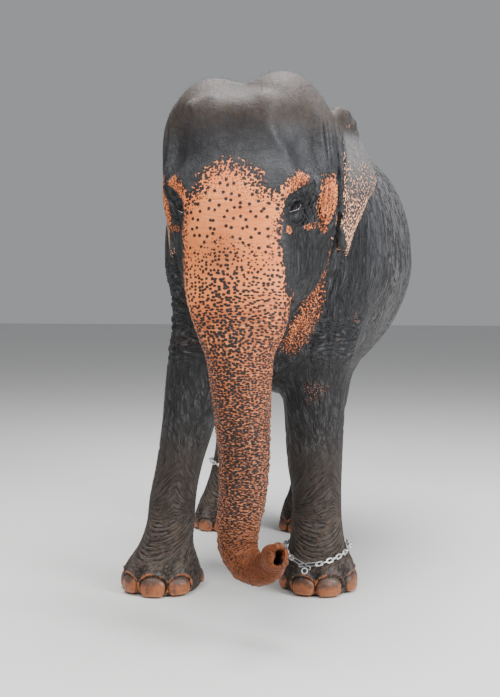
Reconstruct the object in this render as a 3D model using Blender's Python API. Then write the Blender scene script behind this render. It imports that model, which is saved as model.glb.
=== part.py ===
"""A life-size Asian elephant, standing, with a chain ring on two of its legs.

The elephant faces -Y, its left side is at +X, and its four soles lie on the floor at z = 0.
Its flesh is shaped as one smooth form in a block of clay, a grid of distances, and then
parted into its members by thin cuts.  Lengths are in metres.
"""
import math

import bmesh
import bpy
import numpy as np
import openvdb
from mathutils import Matrix, Vector

# ---------------------------------------------------------------- driving sizes
FAR = 9.0  # the distance that empty clay holds
BODY_CELL = 0.018  # grid of the body
EAR_CELL = 0.009
TAIL_CELL = 0.012
BODY_FACES = 2830
EAR_FACES = 250
TAIL_FACES = 120
JAW_FACES = 220
FINE_FRONT = -0.80  # the head is in front of this, in the box's own frame
FINE_LEG = 0.95
CUT = 0.0006  # width of a cut between two members
FIT = 0.0005  # room between a piece and the flesh that it is fitted to

MIDDLE = (-0.0088, -0.3629)  # from the frame of the sizes below to the middle of the box round it
FIELD_LOW = (-0.86, -2.10, -0.05)
FIELD_HIGH = (0.86, 1.24, 2.74)

HEAD_PLACE = (-0.020, -1.30)
HEAD_YAW = math.radians(5.0)  # the head turns to the animal's right

EYE_PLACE = (0.258, 0.232, 1.953)  # to the side, forwards, up
EYE_RADIUS = 0.021
EYE_TURN = 0.75  # how far forwards the eyes look, for each part to the side
EAR_HINGE = -0.066  # how far forwards the ear's root is
EAR_FLARE = math.radians(14.4)
EAR_THICK = 0.018

NAIL_SIZE = (0.066, 0.034, 0.050)  # half width, half thickness, half height
NAIL_HEIGHT = 0.056
NAIL_CURVE = 0.18  # how much smaller the outermost nails are
CHAIN_HALF = 0.013  # half the width of a link
CHAIN_WIRE = 0.0045
CHAIN_RISE = (58.0, 88.0)  # degrees round the leg from a ring's lowest point to its highest, each way
CHAINS = {  # ring: the leg, lowest and highest point, where it is lowest, room round the leg, links
    "chain_fore_left": ("fore_left", 0.157, 0.222, -15, 0.022, 32),
    "chain_hind_right": ("hind_right", 0.414, 0.438, 0, 0.021, 26),
}
KNEE = {"fore": 0.80, "hind": 0.72}  # heights at which the legs are parted
ANKLE = {"fore": 0.27, "hind": 0.23}
NECK_BACK = (0.0, -0.96, 1.7)  # a point on the cut between the torso and the neck
NECK_FRONT = -0.155  # how far in front of the head's middle the neck ends
TRUNK_CUTS = (1.24, 0.76)  # heights of the two level cuts through the trunk

TORSO = [  # y, top, bottom, half width, x
    (-1.14, 2.10, 1.56, 0.20, -0.01),
    (-1.02, 2.25, 1.27, 0.40, -0.01),
    (-0.78, 2.33, 1.10, 0.53, 0.00),
    (-0.45, 2.41, 1.01, 0.595, 0.030),
    (-0.05, 2.47, 0.965, 0.648, 0.082),
    (0.28, 2.46, 0.975, 0.658, 0.090),
    (0.58, 2.38, 1.05, 0.630, 0.058),
    (0.80, 2.24, 1.18, 0.54, 0.015),
    (0.93, 2.08, 1.36, 0.36, -0.01),
    (0.98, 1.95, 1.50, 0.16, -0.02),
]
# each leg: height, x, y, half width, half depth
FORE_RIGHT = [
    (0.00, -0.548, -0.865, 0.192, 0.205),
    (0.05, -0.548, -0.870, 0.207, 0.222),
    (0.13, -0.548, -0.868, 0.190, 0.208),
    (0.22, -0.534, -0.858, 0.146, 0.168),
    (0.34, -0.510, -0.850, 0.126, 0.146),
    (0.49, -0.495, -0.850, 0.122, 0.140),
    (0.66, -0.461, -0.845, 0.122, 0.142),
    (0.86, -0.417, -0.825, 0.138, 0.170),
    (1.10, -0.381, -0.790, 0.157, 0.215),
    (1.35, -0.350, -0.760, 0.160, 0.245),
    (1.55, -0.320, -0.740, 0.120, 0.180),
    (1.66, -0.290, -0.740, 0.040, 0.060),
]
FORE_LEFT = [
    (0.00, 0.273, -0.745, 0.180, 0.205),
    (0.05, 0.272, -0.750, 0.195, 0.222),
    (0.13, 0.270, -0.750, 0.186, 0.208),
    (0.22, 0.265, -0.742, 0.152, 0.168),
    (0.34, 0.260, -0.738, 0.135, 0.150),
    (0.49, 0.260, -0.738, 0.131, 0.145),
    (0.66, 0.250, -0.742, 0.145, 0.150),
    (0.88, 0.248, -0.748, 0.156, 0.180),
    (1.08, 0.250, -0.750, 0.165, 0.215),
    (1.35, 0.280, -0.745, 0.172, 0.245),
    (1.55, 0.300, -0.740, 0.120, 0.180),
    (1.66, 0.280, -0.740, 0.040, 0.060),
]
HIND_RIGHT = [
    (0.00, -0.500, 0.672, 0.152, 0.178),
    (0.05, -0.500, 0.670, 0.166, 0.192),
    (0.13, -0.495, 0.678, 0.157, 0.180),
    (0.25, -0.478, 0.705, 0.124, 0.142),
    (0.42, -0.440, 0.735, 0.115, 0.128),
    (0.60, -0.400, 0.735, 0.130, 0.160),
    (0.80, -0.370, 0.690, 0.155, 0.225),
    (1.02, -0.350, 0.640, 0.180, 0.290),
    (1.28, -0.330, 0.640, 0.195, 0.320),
    (1.48, -0.300, 0.670, 0.130, 0.220),
    (1.60, -0.280, 0.680, 0.040, 0.070),
]
HIND_LEFT = [
    (0.00, 0.066, 0.692, 0.152, 0.178),
    (0.05, 0.066, 0.690, 0.166, 0.192),
    (0.13, 0.070, 0.698, 0.157, 0.180),
    (0.25, 0.085, 0.720, 0.124, 0.142),
    (0.42, 0.100, 0.745, 0.115, 0.128),
    (0.60, 0.150, 0.740, 0.130, 0.160),
    (0.80, 0.182, 0.690, 0.149, 0.225),
    (1.02, 0.205, 0.640, 0.168, 0.290),
    (1.28, 0.240, 0.640, 0.186, 0.320),
    (1.48, 0.260, 0.670, 0.130, 0.220),
    (1.60, 0.250, 0.680, 0.040, 0.070),
]
LEGS = {"fore_right": FORE_RIGHT, "fore_left": FORE_LEFT, "hind_right": HIND_RIGHT, "hind_left": HIND_LEFT}
MASK = [  # the front of the face: height, forwards, half width, half depth
    (1.34, 0.275, 0.050, 0.040),
    (1.40, 0.275, 0.140, 0.095),
    (1.50, 0.255, 0.195, 0.130),
    (1.62, 0.210, 0.230, 0.180),
    (1.78, 0.160, 0.255, 0.240),
    (1.92, 0.135, 0.282, 0.262),
    (2.03, 0.110, 0.318, 0.272),
    (2.12, 0.095, 0.318, 0.254),
    (2.22, 0.080, 0.278, 0.212),
    (2.31, 0.070, 0.245, 0.200),
    (2.375, 0.080, 0.228, 0.232),
    (2.43, 0.075, 0.204, 0.226),
    (2.49, 0.050, 0.120, 0.150),
    (2.52, 0.030, 0.040, 0.060),
]
RIDGE = [  # the forehead's edge on each side: to the side, forwards, up, how far it leans to the left
    (0.120, 0.258, 2.445, 0.000),
    (0.180, 0.256, 2.405, -0.040),
    (0.196, 0.252, 2.345, -0.038),
    (0.216, 0.248, 2.290, -0.024),
    (0.254, 0.248, 2.220, -0.009),
    (0.292, 0.240, 2.145, 0.000),
    (0.318, 0.215, 2.085, 0.000),
    (0.328, 0.170, 2.035, 0.000),
]
RIDGE_WIDTH = 0.029
TRUNK = [  # length along the trunk, x, y, height, half width, half depth
    (0.00, -0.034, -1.47, 2.02, 0.215, 0.17),
    (0.25, -0.037, -1.50, 1.77, 0.240, 0.20),
    (0.43, -0.034, -1.555, 1.58, 0.240, 0.170),
    (0.56, -0.024, -1.58, 1.46, 0.219, 0.152),
    (0.69, -0.026, -1.60, 1.33, 0.163, 0.142),
    (0.80, -0.021, -1.605, 1.21, 0.147, 0.136),
    (1.02, -0.010, -1.610, 0.99, 0.128, 0.127),
    (1.22, -0.002, -1.615, 0.79, 0.117, 0.118),
    (1.42, -0.012, -1.635, 0.60, 0.108, 0.106),
    (1.54, -0.026, -1.66, 0.48, 0.097, 0.094),
    (1.63, -0.012, -1.695, 0.395, 0.087, 0.085),
    (1.70, 0.032, -1.735, 0.350, 0.079, 0.078),
    (1.77, 0.088, -1.772, 0.340, 0.072, 0.072),
    (1.84, 0.137, -1.808, 0.362, 0.067, 0.067),
    (1.90, 0.158, -1.846, 0.400, 0.062, 0.062),
    (1.94, 0.163, -1.884, 0.424, 0.059, 0.059),
    (1.98, 0.179, -1.918, 0.434, 0.058, 0.058),
]
TAIL = [  # length along the tail, x, y, height, radius
    (0.00, -0.020, 1.06, 2.04, 0.080),
    (0.16, -0.020, 1.17, 1.94, 0.062),
    (0.36, -0.020, 1.205, 1.74, 0.047),
    (0.70, -0.012, 1.195, 1.40, 0.035),
    (1.00, -0.004, 1.185, 1.10, 0.026),
    (1.16, 0.000, 1.185, 0.94, 0.020),
]
TIP_BOWL = (0.025, 0.034, 0.036)  # half sizes of the hollow at the trunk's end
TUFT_SIZE = (0.036, 0.024, 0.135)
EAR = [  # height, front edge, back edge, how far to the side the hinge is
    (1.745, 0.095, 0.112, 0.395),
    (1.80, 0.062, 0.130, 0.400),
    (1.87, 0.020, 0.165, 0.405),
    (1.95, -0.040, 0.232, 0.410),
    (2.03, -0.060, 0.315, 0.412),
    (2.09, -0.060, 0.425, 0.413),
    (2.14, -0.060, 0.480, 0.413),
    (2.19, -0.060, 0.408, 0.412),
    (2.25, -0.060, 0.322, 0.408),
    (2.32, -0.060, 0.215, 0.398),
    (2.38, -0.050, 0.180, 0.385),
    (2.43, 0.020, 0.140, 0.372),
]
RIM = [(0.02, 2.405, 0.015), (0.07, 2.430, 0.019), (0.13, 2.420, 0.023), (0.17, 2.365, 0.021)]

SKIN = (0.085, 0.080, 0.080, 1.0)
PINK = (0.60, 0.27, 0.14, 1.0)
NAIL = (0.45, 0.22, 0.11, 1.0)
EYE = (0.05, 0.025, 0.012, 1.0)
STEEL = (0.55, 0.55, 0.56, 1.0)
HAIR = (0.02, 0.018, 0.016, 1.0)


# ---------------------------------------------------------------- clay
def eased(stations, t):
    """Smooth values between stations, each (place, value, value ...), at the places t."""
    table = np.array(stations, float)
    place, values = table[:, 0], table[:, 1:]
    slope = np.gradient(values, place, axis=0)
    t = np.clip(np.asarray(t, float), place[0], place[-1])
    i = np.clip(np.searchsorted(place, t) - 1, 0, len(place) - 2)
    width = place[i + 1] - place[i]
    u = ((t - place[i]) / width)[..., None]
    width = width[..., None]
    rise = 3 * u**2 - 2 * u**3
    value = (values[i] * (1 - rise) + values[i + 1] * rise
             + slope[i] * width * (u - 2 * u**2 + u**3) + slope[i + 1] * width * (u**3 - u**2))
    return np.moveaxis(value, -1, 0)


class Clay:
    """A block of space on a cubic grid that holds the distance to a shape, negative inside."""

    def __init__(self, low, high, cell):
        self.low, self.cell = np.array(low, float), cell
        count = np.ceil((np.array(high) - self.low) / cell).astype(int) + 1
        self.field = np.full(count, FAR, np.float32)

    def window(self, low, high):
        """The part of the grid between two corners, and its coordinates."""
        first = np.clip(np.floor((np.array(low) - self.low) / self.cell), 0, None).astype(int)
        last = np.minimum(np.ceil((np.array(high) - self.low) / self.cell).astype(int) + 1,
                          self.field.shape)
        place = tuple(slice(a, max(a, b)) for a, b in zip(first, last))
        x, y, z = (np.float32(self.low[i] + self.cell * np.arange(place[i].start, place[i].stop))
                   for i in range(3))
        return place, (x[:, None, None], y[None, :, None], z[None, None, :])

    def blank(self):
        """An empty block on the same grid."""
        other = Clay(self.low, self.low, self.cell)
        other.field = np.full_like(self.field, FAR)
        return other

    @staticmethod
    def joined(old, new, blend):
        """The nearer of two distances, with a fillet about as wide as blend."""
        if not blend:
            return np.minimum(old, new)
        h = np.clip(blend - np.abs(old - new), 0, None) / blend
        return np.minimum(old, new) - h * h * blend * 0.25

    def work(self, shape, blend, sign):
        low, high, distance = shape
        margin = blend + 3 * self.cell
        place, axes = self.window(np.array(low) - margin, np.array(high) + margin)
        if self.field[place].size:
            self.field[place] = sign * self.joined(sign * self.field[place], distance(*axes), blend)

    def add(self, shape, blend=0.0):
        self.work(shape, blend, 1)

    def carve(self, shape, blend=0.0):
        self.work(shape, blend, -1)

    def merge(self, other, blend=0.0):
        self.field = self.joined(self.field, other.field, blend)

    def soften(self, radius):
        """Average the field over about the given radius, which rounds its creases."""
        for _ in range(max(1, round((radius / self.cell)**2))):
            for axis in range(3):
                near = np.roll(self.field, 1, axis) + np.roll(self.field, -1, axis)
                self.field = 0.5 * self.field + 0.25 * near


def ellipsoid(centre, radii, turn=(0.0, 0.0, 0.0)):
    """An ellipsoid with its axes turned by the angles turn, in degrees."""
    axes = np.array(Matrix.Rotation(math.radians(turn[2]), 3, "Z")
                    @ Matrix.Rotation(math.radians(turn[1]), 3, "Y")
                    @ Matrix.Rotation(math.radians(turn[0]), 3, "X"))
    centre, radii = np.array(centre, float), np.array(radii, float)
    reach = radii.max()

    def distance(x, y, z):
        p = [x - centre[0], y - centre[1], z - centre[2]]
        q = [axes[0][i] * p[0] + axes[1][i] * p[1] + axes[2][i] * p[2] for i in range(3)]
        k0 = np.sqrt(sum((q[i] / radii[i])**2 for i in range(3)))
        k1 = np.sqrt(sum((q[i] / radii[i]**2)**2 for i in range(3))) + 1e-6
        return k0 * (k0 - 1) / k1
    return centre - reach, centre + reach, distance


def section(across, along, half_across, half_along, power):
    """Distance in a plane to a rounded outline with the given half widths."""
    u, v = np.abs(across) / half_across, np.abs(along) / half_along
    r = (u**power + v**power)**(1 / power) + 1e-4
    return np.sqrt(across**2 + along**2 + 1e-8) * (1 - 1 / r) - 1e-5


def column(stations, power=2.15, yaw=0.0):
    """An upright member from its stations (height, x, y, half width, half depth)."""
    table = np.array(stations)
    low = [(table[:, 1] - table[:, 3]).min(), (table[:, 2] - table[:, 4]).min(), table[0, 0]]
    high = [(table[:, 1] + table[:, 3]).max(), (table[:, 2] + table[:, 4]).max(), table[-1, 0]]
    c, s = math.cos(yaw), math.sin(yaw)

    def distance(x, y, z):
        cx, cy, wide, deep = (v.astype(np.float32) for v in eased(stations, z))
        side = section((x - cx) * c - (y - cy) * s, (x - cx) * s + (y - cy) * c, wide, deep, power)
        return np.maximum(side, np.maximum(table[0, 0] - z, z - table[-1, 0]))
    return low, high, distance


def barrel(stations, upper=2.3, lower=1.62):
    """A body along Y from its stations (y, top, bottom, half width, x)."""
    table = np.array(stations)
    low = [(table[:, 4] - table[:, 3]).min(), table[0, 0], table[:, 2].min()]
    high = [(table[:, 4] + table[:, 3]).max(), table[-1, 0], table[:, 1].max()]

    def distance(x, y, z):
        top, bottom, wide, cx = (v.astype(np.float32) for v in eased(stations, y))
        middle, tall = (top + bottom) / 2, (top - bottom) / 2
        above = section(x - cx, z - middle, wide, tall, upper)
        below = section(x - cx, z - middle, wide, tall, lower)
        side = np.where(z > middle, above, below)
        return np.maximum(side, np.maximum(table[0, 0] - y, y - table[-1, 0]))
    return low, high, distance


def rod(a, b, ra, rb, across=(1.0, 0.0, 0.0), flat=1.0):
    """A tapered rod from a to b; its width along the direction across is flat times its depth."""
    a, b, across = (np.array(v, np.float32) for v in (a, b, across))
    span = b - a
    reach = max(ra, rb) * max(1.0, flat)

    def distance(x, y, z):
        p = [x - a[0], y - a[1], z - a[2]]
        t = np.clip((p[0] * span[0] + p[1] * span[1] + p[2] * span[2]) / (span @ span), 0, 1)
        q = [p[i] - t * span[i] for i in range(3)]
        s = q[0] * across[0] + q[1] * across[1] + q[2] * across[2]
        whole = q[0]**2 + q[1]**2 + q[2]**2
        r = ra + (rb - ra) * t
        k = np.sqrt((s / (r * flat))**2 + np.clip(whole - s * s, 0, None) / r**2) + 1e-4
        return np.sqrt(whole + 1e-10) * (1 - 1 / k)
    return np.minimum(a, b) - reach, np.maximum(a, b) + reach, distance


# ---------------------------------------------------------------- anatomy
def head(side, forward, height):
    """A point of the head, from its own middle plane: to its left, forwards and up."""
    c, s = math.cos(HEAD_YAW), math.sin(HEAD_YAW)
    return (HEAD_PLACE[0] + side * c - forward * s, HEAD_PLACE[1] - side * s - forward * c, height)


def shape_body(clay):
    clay.add(barrel(TORSO))
    clay.add(ellipsoid((0.0, -0.62, 2.02), (0.36, 0.42, 0.36)), 0.10)
    clay.add(ellipsoid((-0.015, 0.70, 1.80), (0.50, 0.43, 0.55)), 0.10)
    for side in (-1, 1):  # shoulder, thigh and hip
        clay.add(ellipsoid((side * 0.335, -0.68, 1.70), (0.155, 0.30, 0.48), (12, side * 8, 0)), 0.14)
        clay.add(ellipsoid((side * 0.32, 0.62, 1.58), (0.24, 0.40, 0.50), (-14, side * 6, 0)), 0.14)
        clay.add(ellipsoid((side * 0.24, 0.86, 1.98), (0.20, 0.17, 0.18)), 0.14)
    # neck and chest
    clay.add(rod((0.0, -0.90, 1.93), head(0, -0.10, 1.98), 0.36, 0.33, (1, 0, 0), 1.10), 0.14)
    clay.add(rod((0.0, -0.86, 1.50), head(0, -0.08, 1.74), 0.30, 0.19, (1, 0, 0), 1.08), 0.14)
    clay.add(ellipsoid((-0.02, -0.80, 1.33), (0.30, 0.20, 0.24)), 0.12)
    for leg in LEGS.values():
        clay.add(column(leg), 0.12)
    clay.soften(0.02)


def shape_head(clay):
    yaw = (0.0, 0.0, -math.degrees(HEAD_YAW))
    skull = clay.blank()
    skull.add(ellipsoid(head(0, -0.04, 2.10), (0.350, 0.34, 0.42), yaw))
    skull.add(ellipsoid(head(0.160, 0.00, 2.345), (0.215, 0.27, 0.265), yaw), 0.06)
    skull.add(ellipsoid(head(-0.170, 0.00, 2.325), (0.215, 0.27, 0.265), yaw), 0.06)
    mask = [(height, *head(0, forward, 0)[:2], wide, deep) for height, forward, wide, deep in MASK]
    skull.add(column(mask, 3.0, HEAD_YAW), 0.10)
    for side in (-1, 1):  # temple, brow, cheekbone, cheek and jaw's angle
        skull.add(ellipsoid(head(side * 0.31, -0.02, 2.20), (0.108, 0.23, 0.25), yaw), 0.08)
        skull.add(rod(head(side * 0.275, 0.25, 2.06), head(side * 0.30, 0.13, 2.035), 0.045, 0.045), 0.09)
        skull.add(ellipsoid(head(side * 0.343 + 0.009, 0.045, 1.985), (0.066, 0.095, 0.135), yaw), 0.06)
        skull.add(ellipsoid(head(side * 0.21, 0.00, 1.76), (0.135, 0.25, 0.24), yaw), 0.09)
        skull.add(ellipsoid(head(side * 0.22, -0.16, 1.92), (0.16, 0.22, 0.30), yaw), 0.10)
    for side in (-1, 1):  # ridge of the forehead, then the hollows of the temple and the eye
        for upper, lower in zip(RIDGE, RIDGE[1:]):
            ends = [head(side * out + lean, forward, up) for out, forward, up, lean in (upper, lower)]
            skull.add(rod(*ends, RIDGE_WIDTH, RIDGE_WIDTH), 0.045)
        skull.carve(ellipsoid(head(side * 0.342, 0.240, 2.270), (0.100, 0.130, 0.160), yaw), 0.07)
        skull.carve(ellipsoid(head(side * 0.272 - 0.020, 0.290, 2.335), (0.068, 0.080, 0.085), yaw), 0.06)
        skull.carve(ellipsoid(head(side * 0.345, 0.305, 1.950), (0.092, 0.118, 0.108), yaw), 0.05)
        skull.carve(rod(head(side * 0.315, 0.270, 1.86), head(side * 0.290, 0.225, 1.52), 0.034, 0.040), 0.05)
    skull.soften(0.022)
    return skull


def shape_trunk(clay):
    trunk = clay.blank()
    length = np.linspace(TRUNK[0][0], TRUNK[-1][0], 50)
    x, y, z, wide, deep = eased(TRUNK, length)
    points = np.stack([x, y, z], axis=1)
    across = (math.cos(HEAD_YAW), -math.sin(HEAD_YAW), 0.0)
    for i in range(len(length) - 1):
        trunk.add(rod(points[i], points[i + 1], deep[i], deep[i + 1], across, wide[i] / deep[i]))
    return trunk


def shape_jaw(clay):
    for side in (-1, 1):
        clay.add(rod(head(side * 0.15, -0.06, 1.61), head(side * 0.06, 0.06, 1.49), 0.12, 0.09), 0.05)
    clay.add(rod(head(0, 0.04, 1.50), head(0, 0.105, 1.43), 0.095, 0.068), 0.05)
    clay.add(rod(head(0, 0.105, 1.43), head(0, 0.130, 1.365), 0.068, 0.040), 0.03)


def shape_ear(clay, side):
    """A thin leaf behind the cheek, hinged on the head, with its top edge rolled over."""
    c, s = math.cos(HEAD_YAW), math.sin(HEAD_YAW)
    half = EAR_THICK / 2

    def leaf(x, y, z):
        dx, dy = x - HEAD_PLACE[0], y - HEAD_PLACE[1]
        out, back = side * (dx * c - dy * s), EAR_HINGE + dx * s + dy * c
        front_edge, back_edge, hinge = (v.astype(np.float32) for v in eased(EAR, z))
        reach = back / math.cos(EAR_FLARE)
        cup = 0.030 * np.sin(np.clip(reach / 0.5, 0, 1) * math.pi)
        root = np.where(reach < 0, 3.0 * reach, 0.0)
        sheet = hinge + root + reach * math.sin(EAR_FLARE) + cup
        apart = np.abs(out - sheet) * math.cos(EAR_FLARE)
        outside = np.maximum(np.maximum(front_edge - reach, reach - back_edge),
                             np.maximum(EAR[0][0] - z, z - EAR[-1][0]))
        return np.hypot(apart, np.clip(outside + half, 0, None)) - half
    low = np.array(head(side * 0.45, -0.25, 2.1)) - (0.30, 0.45, 0.42)
    clay.add((low, low + (0.60, 0.90, 0.84), leaf))
    points = [ear_point(side, back, height) for back, height, _ in RIM]
    for i in range(len(RIM) - 1):
        clay.add(rod(points[i], points[i + 1], RIM[i][2], RIM[i + 1][2]), 0.01)


def ear_point(side, back, height):
    """A point on the ear's sheet, back from its hinge."""
    hinge = eased(EAR, height)[2]
    out = hinge + back * math.sin(EAR_FLARE) + 0.012
    return head(side * out, EAR_HINGE - back * math.cos(EAR_FLARE), height)


def shape_tail(clay):
    length = np.linspace(TAIL[0][0], TAIL[-1][0], 16)
    x, y, z, radius = eased(TAIL, length)
    points = np.stack([x, y, z], axis=1)
    for i in range(len(length) - 1):
        clay.add(rod(points[i], points[i + 1], radius[i], radius[i + 1]))


# ---------------------------------------------------------------- solids
def material(name, colour, roughness, metallic=0.0):
    mat = bpy.data.materials.new(name)
    mat.use_nodes = True
    shader = mat.node_tree.nodes["Principled BSDF"]
    shader.inputs["Base Color"].default_value = colour
    shader.inputs["Roughness"].default_value = roughness
    shader.inputs["Metallic"].default_value = metallic
    return mat


def put(name, mesh, collection):
    obj = bpy.data.objects.new(name, mesh)
    collection.objects.link(obj)
    return obj


def cast(clay, name, collection, faces, coarse=None):
    """The surface of the clay as a closed mesh of about the given number of triangles.

    coarse(point) tells how freely the faces are thinned out there, from 0 to 1."""
    grid = openvdb.FloatGrid()
    grid.background = FAR
    grid.copyFromArray(clay.field)
    points, triangles, quads = grid.convertToPolygons(isovalue=0.0, adaptivity=0.0)
    mesh = bpy.data.meshes.new(name)
    points = points * clay.cell + clay.low - np.array((*MIDDLE, 0.0))
    sides = [tuple(int(v) for v in face) for face in (*quads, *triangles)]
    mesh.from_pydata(points.tolist(), [], sides)
    obj = put(name, mesh, collection)
    thin = obj.modifiers.new("thin", "DECIMATE")
    thin.ratio = faces / (2 * len(quads) + len(triangles))
    thin.use_collapse_triangulate = True
    if coarse:
        group = obj.vertex_groups.new(name="coarse")
        for vert in mesh.vertices:
            group.add([vert.index], coarse(vert.co), "REPLACE")
        thin.vertex_group = group.name
    settle(obj)
    obj.vertex_groups.clear()
    return obj


def body_coarse(point):
    """The head and the trunk keep more faces than the barrel of the body, and so do the legs."""
    if point.y < FINE_FRONT:
        return 0.62
    return 0.75 if point.z < FINE_LEG else 1.0


def settle(obj):
    """Apply the modifiers, keep the largest body, and close what is left open."""
    graph = bpy.context.evaluated_depsgraph_get()
    mesh = bpy.data.meshes.new_from_object(obj.evaluated_get(graph))
    obj.modifiers.clear()
    obj.data = mesh
    work = bmesh.new()
    work.from_mesh(mesh)
    bmesh.ops.remove_doubles(work, verts=work.verts, dist=0.00002)
    bmesh.ops.dissolve_degenerate(work, edges=work.edges, dist=0.00002)
    bodies = parts_of(work)
    spare = [v for body in bodies[1:] for v in body]
    bmesh.ops.delete(work, geom=spare, context="VERTS")
    bmesh.ops.triangulate(work, faces=work.faces)
    work.to_mesh(mesh)
    work.free()


def parts_of(work):
    """The vertices of each separate body, the largest body first."""
    seen, bodies = set(), []
    for start in work.verts:
        if start in seen:
            continue
        body, edge = [], [start]
        seen.add(start)
        while edge:
            vert = edge.pop()
            body.append(vert)
            for link in vert.link_edges:
                other = link.other_vert(vert)
                if other not in seen:
                    seen.add(other)
                    edge.append(other)
        bodies.append(body)
    return sorted(bodies, key=len, reverse=True)


def boolean(obj, cutter, operation):
    cut = obj.modifiers.new(operation.lower(), "BOOLEAN")
    cut.operation = operation
    cut.object = cutter
    cut.solver = "EXACT"
    settle(obj)


def copy_of(obj, name, collection, grow=0.0):
    """A copy of a mesh, its surface moved outwards by grow."""
    mesh = obj.data.copy()
    work = bmesh.new()
    work.from_mesh(mesh)
    work.normal_update()
    moves = [(vert, vert.normal.copy()) for vert in work.verts]
    for vert, normal in moves:
        vert.co += normal * grow
    work.to_mesh(mesh)
    work.free()
    return put(name, mesh, collection)


def guide(obj):
    obj.hide_render = True
    obj.display_type = "WIRE"
    return obj


def fitted(obj, around, guides, gap=FIT):
    """Cut away from a piece whatever lies inside or within the gap of the flesh around it."""
    for flesh in around:
        boolean(obj, guide(copy_of(flesh, "room_" + flesh.name, guides, gap)), "DIFFERENCE")
    return obj


def split(obj, point, normal, front_name, parts):
    """Part a mesh at a plane; what lies on the normal's side becomes a new object."""
    point, normal = Vector(point), Vector(normal).normalized()
    point = point - Vector((*MIDDLE, 0.0))
    front = put(front_name, obj.data.copy(), parts)
    for piece, way in ((obj, 1), (front, -1)):
        work = bmesh.new()
        work.from_mesh(piece.data)
        whole = work.verts[:] + work.edges[:] + work.faces[:]
        cut = bmesh.ops.bisect_plane(work, geom=whole, dist=0.00001, plane_co=point - normal * way * CUT / 2,
                                     plane_no=normal * way, clear_outer=True)
        rim = [item for item in cut["geom_cut"] if isinstance(item, bmesh.types.BMEdge)]
        bmesh.ops.contextual_create(work, geom=rim)
        bmesh.ops.triangulate(work, faces=work.faces)
        work.to_mesh(piece.data)
        work.free()
        settle(piece)
    return front


def region(name, centre, radii, tilt, guides, grow=0.0):
    """A long ball that takes in one leg, up to where it leaves the trunk of the body."""
    bpy.ops.mesh.primitive_uv_sphere_add(segments=14, ring_count=9, radius=1.0)
    obj = bpy.context.object
    obj.name = name
    obj.data.transform(Matrix.Translation(Vector(centre) - Vector((*MIDDLE, 0.0)))
                       @ Matrix.Rotation(tilt, 4, "Y") @ Matrix.Diagonal([r + grow for r in radii] + [1.0]))
    for home in obj.users_collection:
        home.objects.unlink(obj)
    guides.objects.link(obj)
    return guide(obj)


# ---------------------------------------------------------------- members
LEG_REGION = {  # centre height, half width, half depth, half height
    "fore_right": (0.58, 0.31, 0.42, 0.80),
    "fore_left": (0.58, 0.31, 0.42, 0.80),
    "hind_right": (0.62, 0.33, 0.46, 0.90),
    "hind_left": (0.62, 0.33, 0.46, 0.90),
}


def build_legs(flesh, parts, guides):
    """Take each leg out of the flesh, and part it into upper leg, lower leg and foot."""
    feet = {}
    for name, leg in LEGS.items():
        height, wide, deep, tall = LEG_REGION[name]
        foot, hip = leg[1], leg[-3]
        share = (height - foot[0]) / (hip[0] - foot[0])
        centre = (foot[1] + (hip[1] - foot[1]) * share, foot[2] + (hip[2] - foot[2]) * share, height)
        tilt = math.atan2(hip[1] - foot[1], hip[0] - foot[0])
        inner = region("region_" + name, centre, (wide, deep, tall), tilt, guides)
        outer = region("room_" + name, centre, (wide, deep, tall), tilt, guides, CUT)
        lower = put("lower_leg_" + name, flesh.data.copy(), parts)
        boolean(lower, inner, "INTERSECT")
        boolean(flesh, outer, "DIFFERENCE")
        pair = name[:4]
        split(lower, (0, 0, KNEE[pair]), (0, 0, 1), "upper_leg_" + name, parts)
        feet[name] = split(lower, (0, 0, ANKLE[pair]), (0, 0, -1), "foot_" + name, parts)
    return feet


def build_trunk(face, parts):
    """Part the trunk from the face, and into four lengths."""
    base = split(face, (0, -1.42, 1.46), (0, -0.82, -0.57), "trunk_base", parts)
    middle = split(base, (0, 0, TRUNK_CUTS[0]), (0, 0, -1), "trunk_middle", parts)
    lower = split(middle, (0, 0, TRUNK_CUTS[1]), (0, 0, -1), "trunk_lower", parts)
    return split(lower, (0.06, -1.76, 0.345), (0.75, -0.60, -0.25), "trunk_tip", parts)


def paint(obj, colour, roughness=0.75, metallic=0.0):
    obj.data.materials.clear()
    obj.data.materials.append(material("coat_" + obj.name, colour, roughness, metallic))


def ball(name, radii, matrix, collection, segments=10, rings=6):
    bpy.ops.mesh.primitive_uv_sphere_add(segments=segments, ring_count=rings, radius=1.0)
    obj = bpy.context.object
    obj.name = name
    shift = Matrix.Translation((-MIDDLE[0], -MIDDLE[1], 0.0))
    obj.data.transform(shift @ matrix @ Matrix.Diagonal([*radii, 1.0]))
    for home in obj.users_collection:
        home.objects.unlink(obj)
    collection.objects.link(obj)
    return obj


def build_nostrils(tip, guides):
    """The hollow in the end of the trunk, with two openings in its floor."""
    end = Vector(TRUNK[-1][1:4])
    way = (end - Vector(TRUNK[-2][1:4])).normalized()
    aim = way.to_track_quat("Z", "Y").to_matrix().to_4x4()
    bowl = Matrix.Translation(end + way * 0.060) @ aim
    boolean(tip, guide(ball("bowl", TIP_BOWL, bowl, guides, 10, 6)), "DIFFERENCE")
    for side in (-1, 1):
        place = Matrix.Translation(end + way * 0.030) @ aim @ Matrix.Translation((0, side * 0.015, 0))
        boolean(tip, guide(ball("nostril", (0.016, 0.010, 0.030), place, guides, 6, 5)), "DIFFERENCE")


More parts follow.
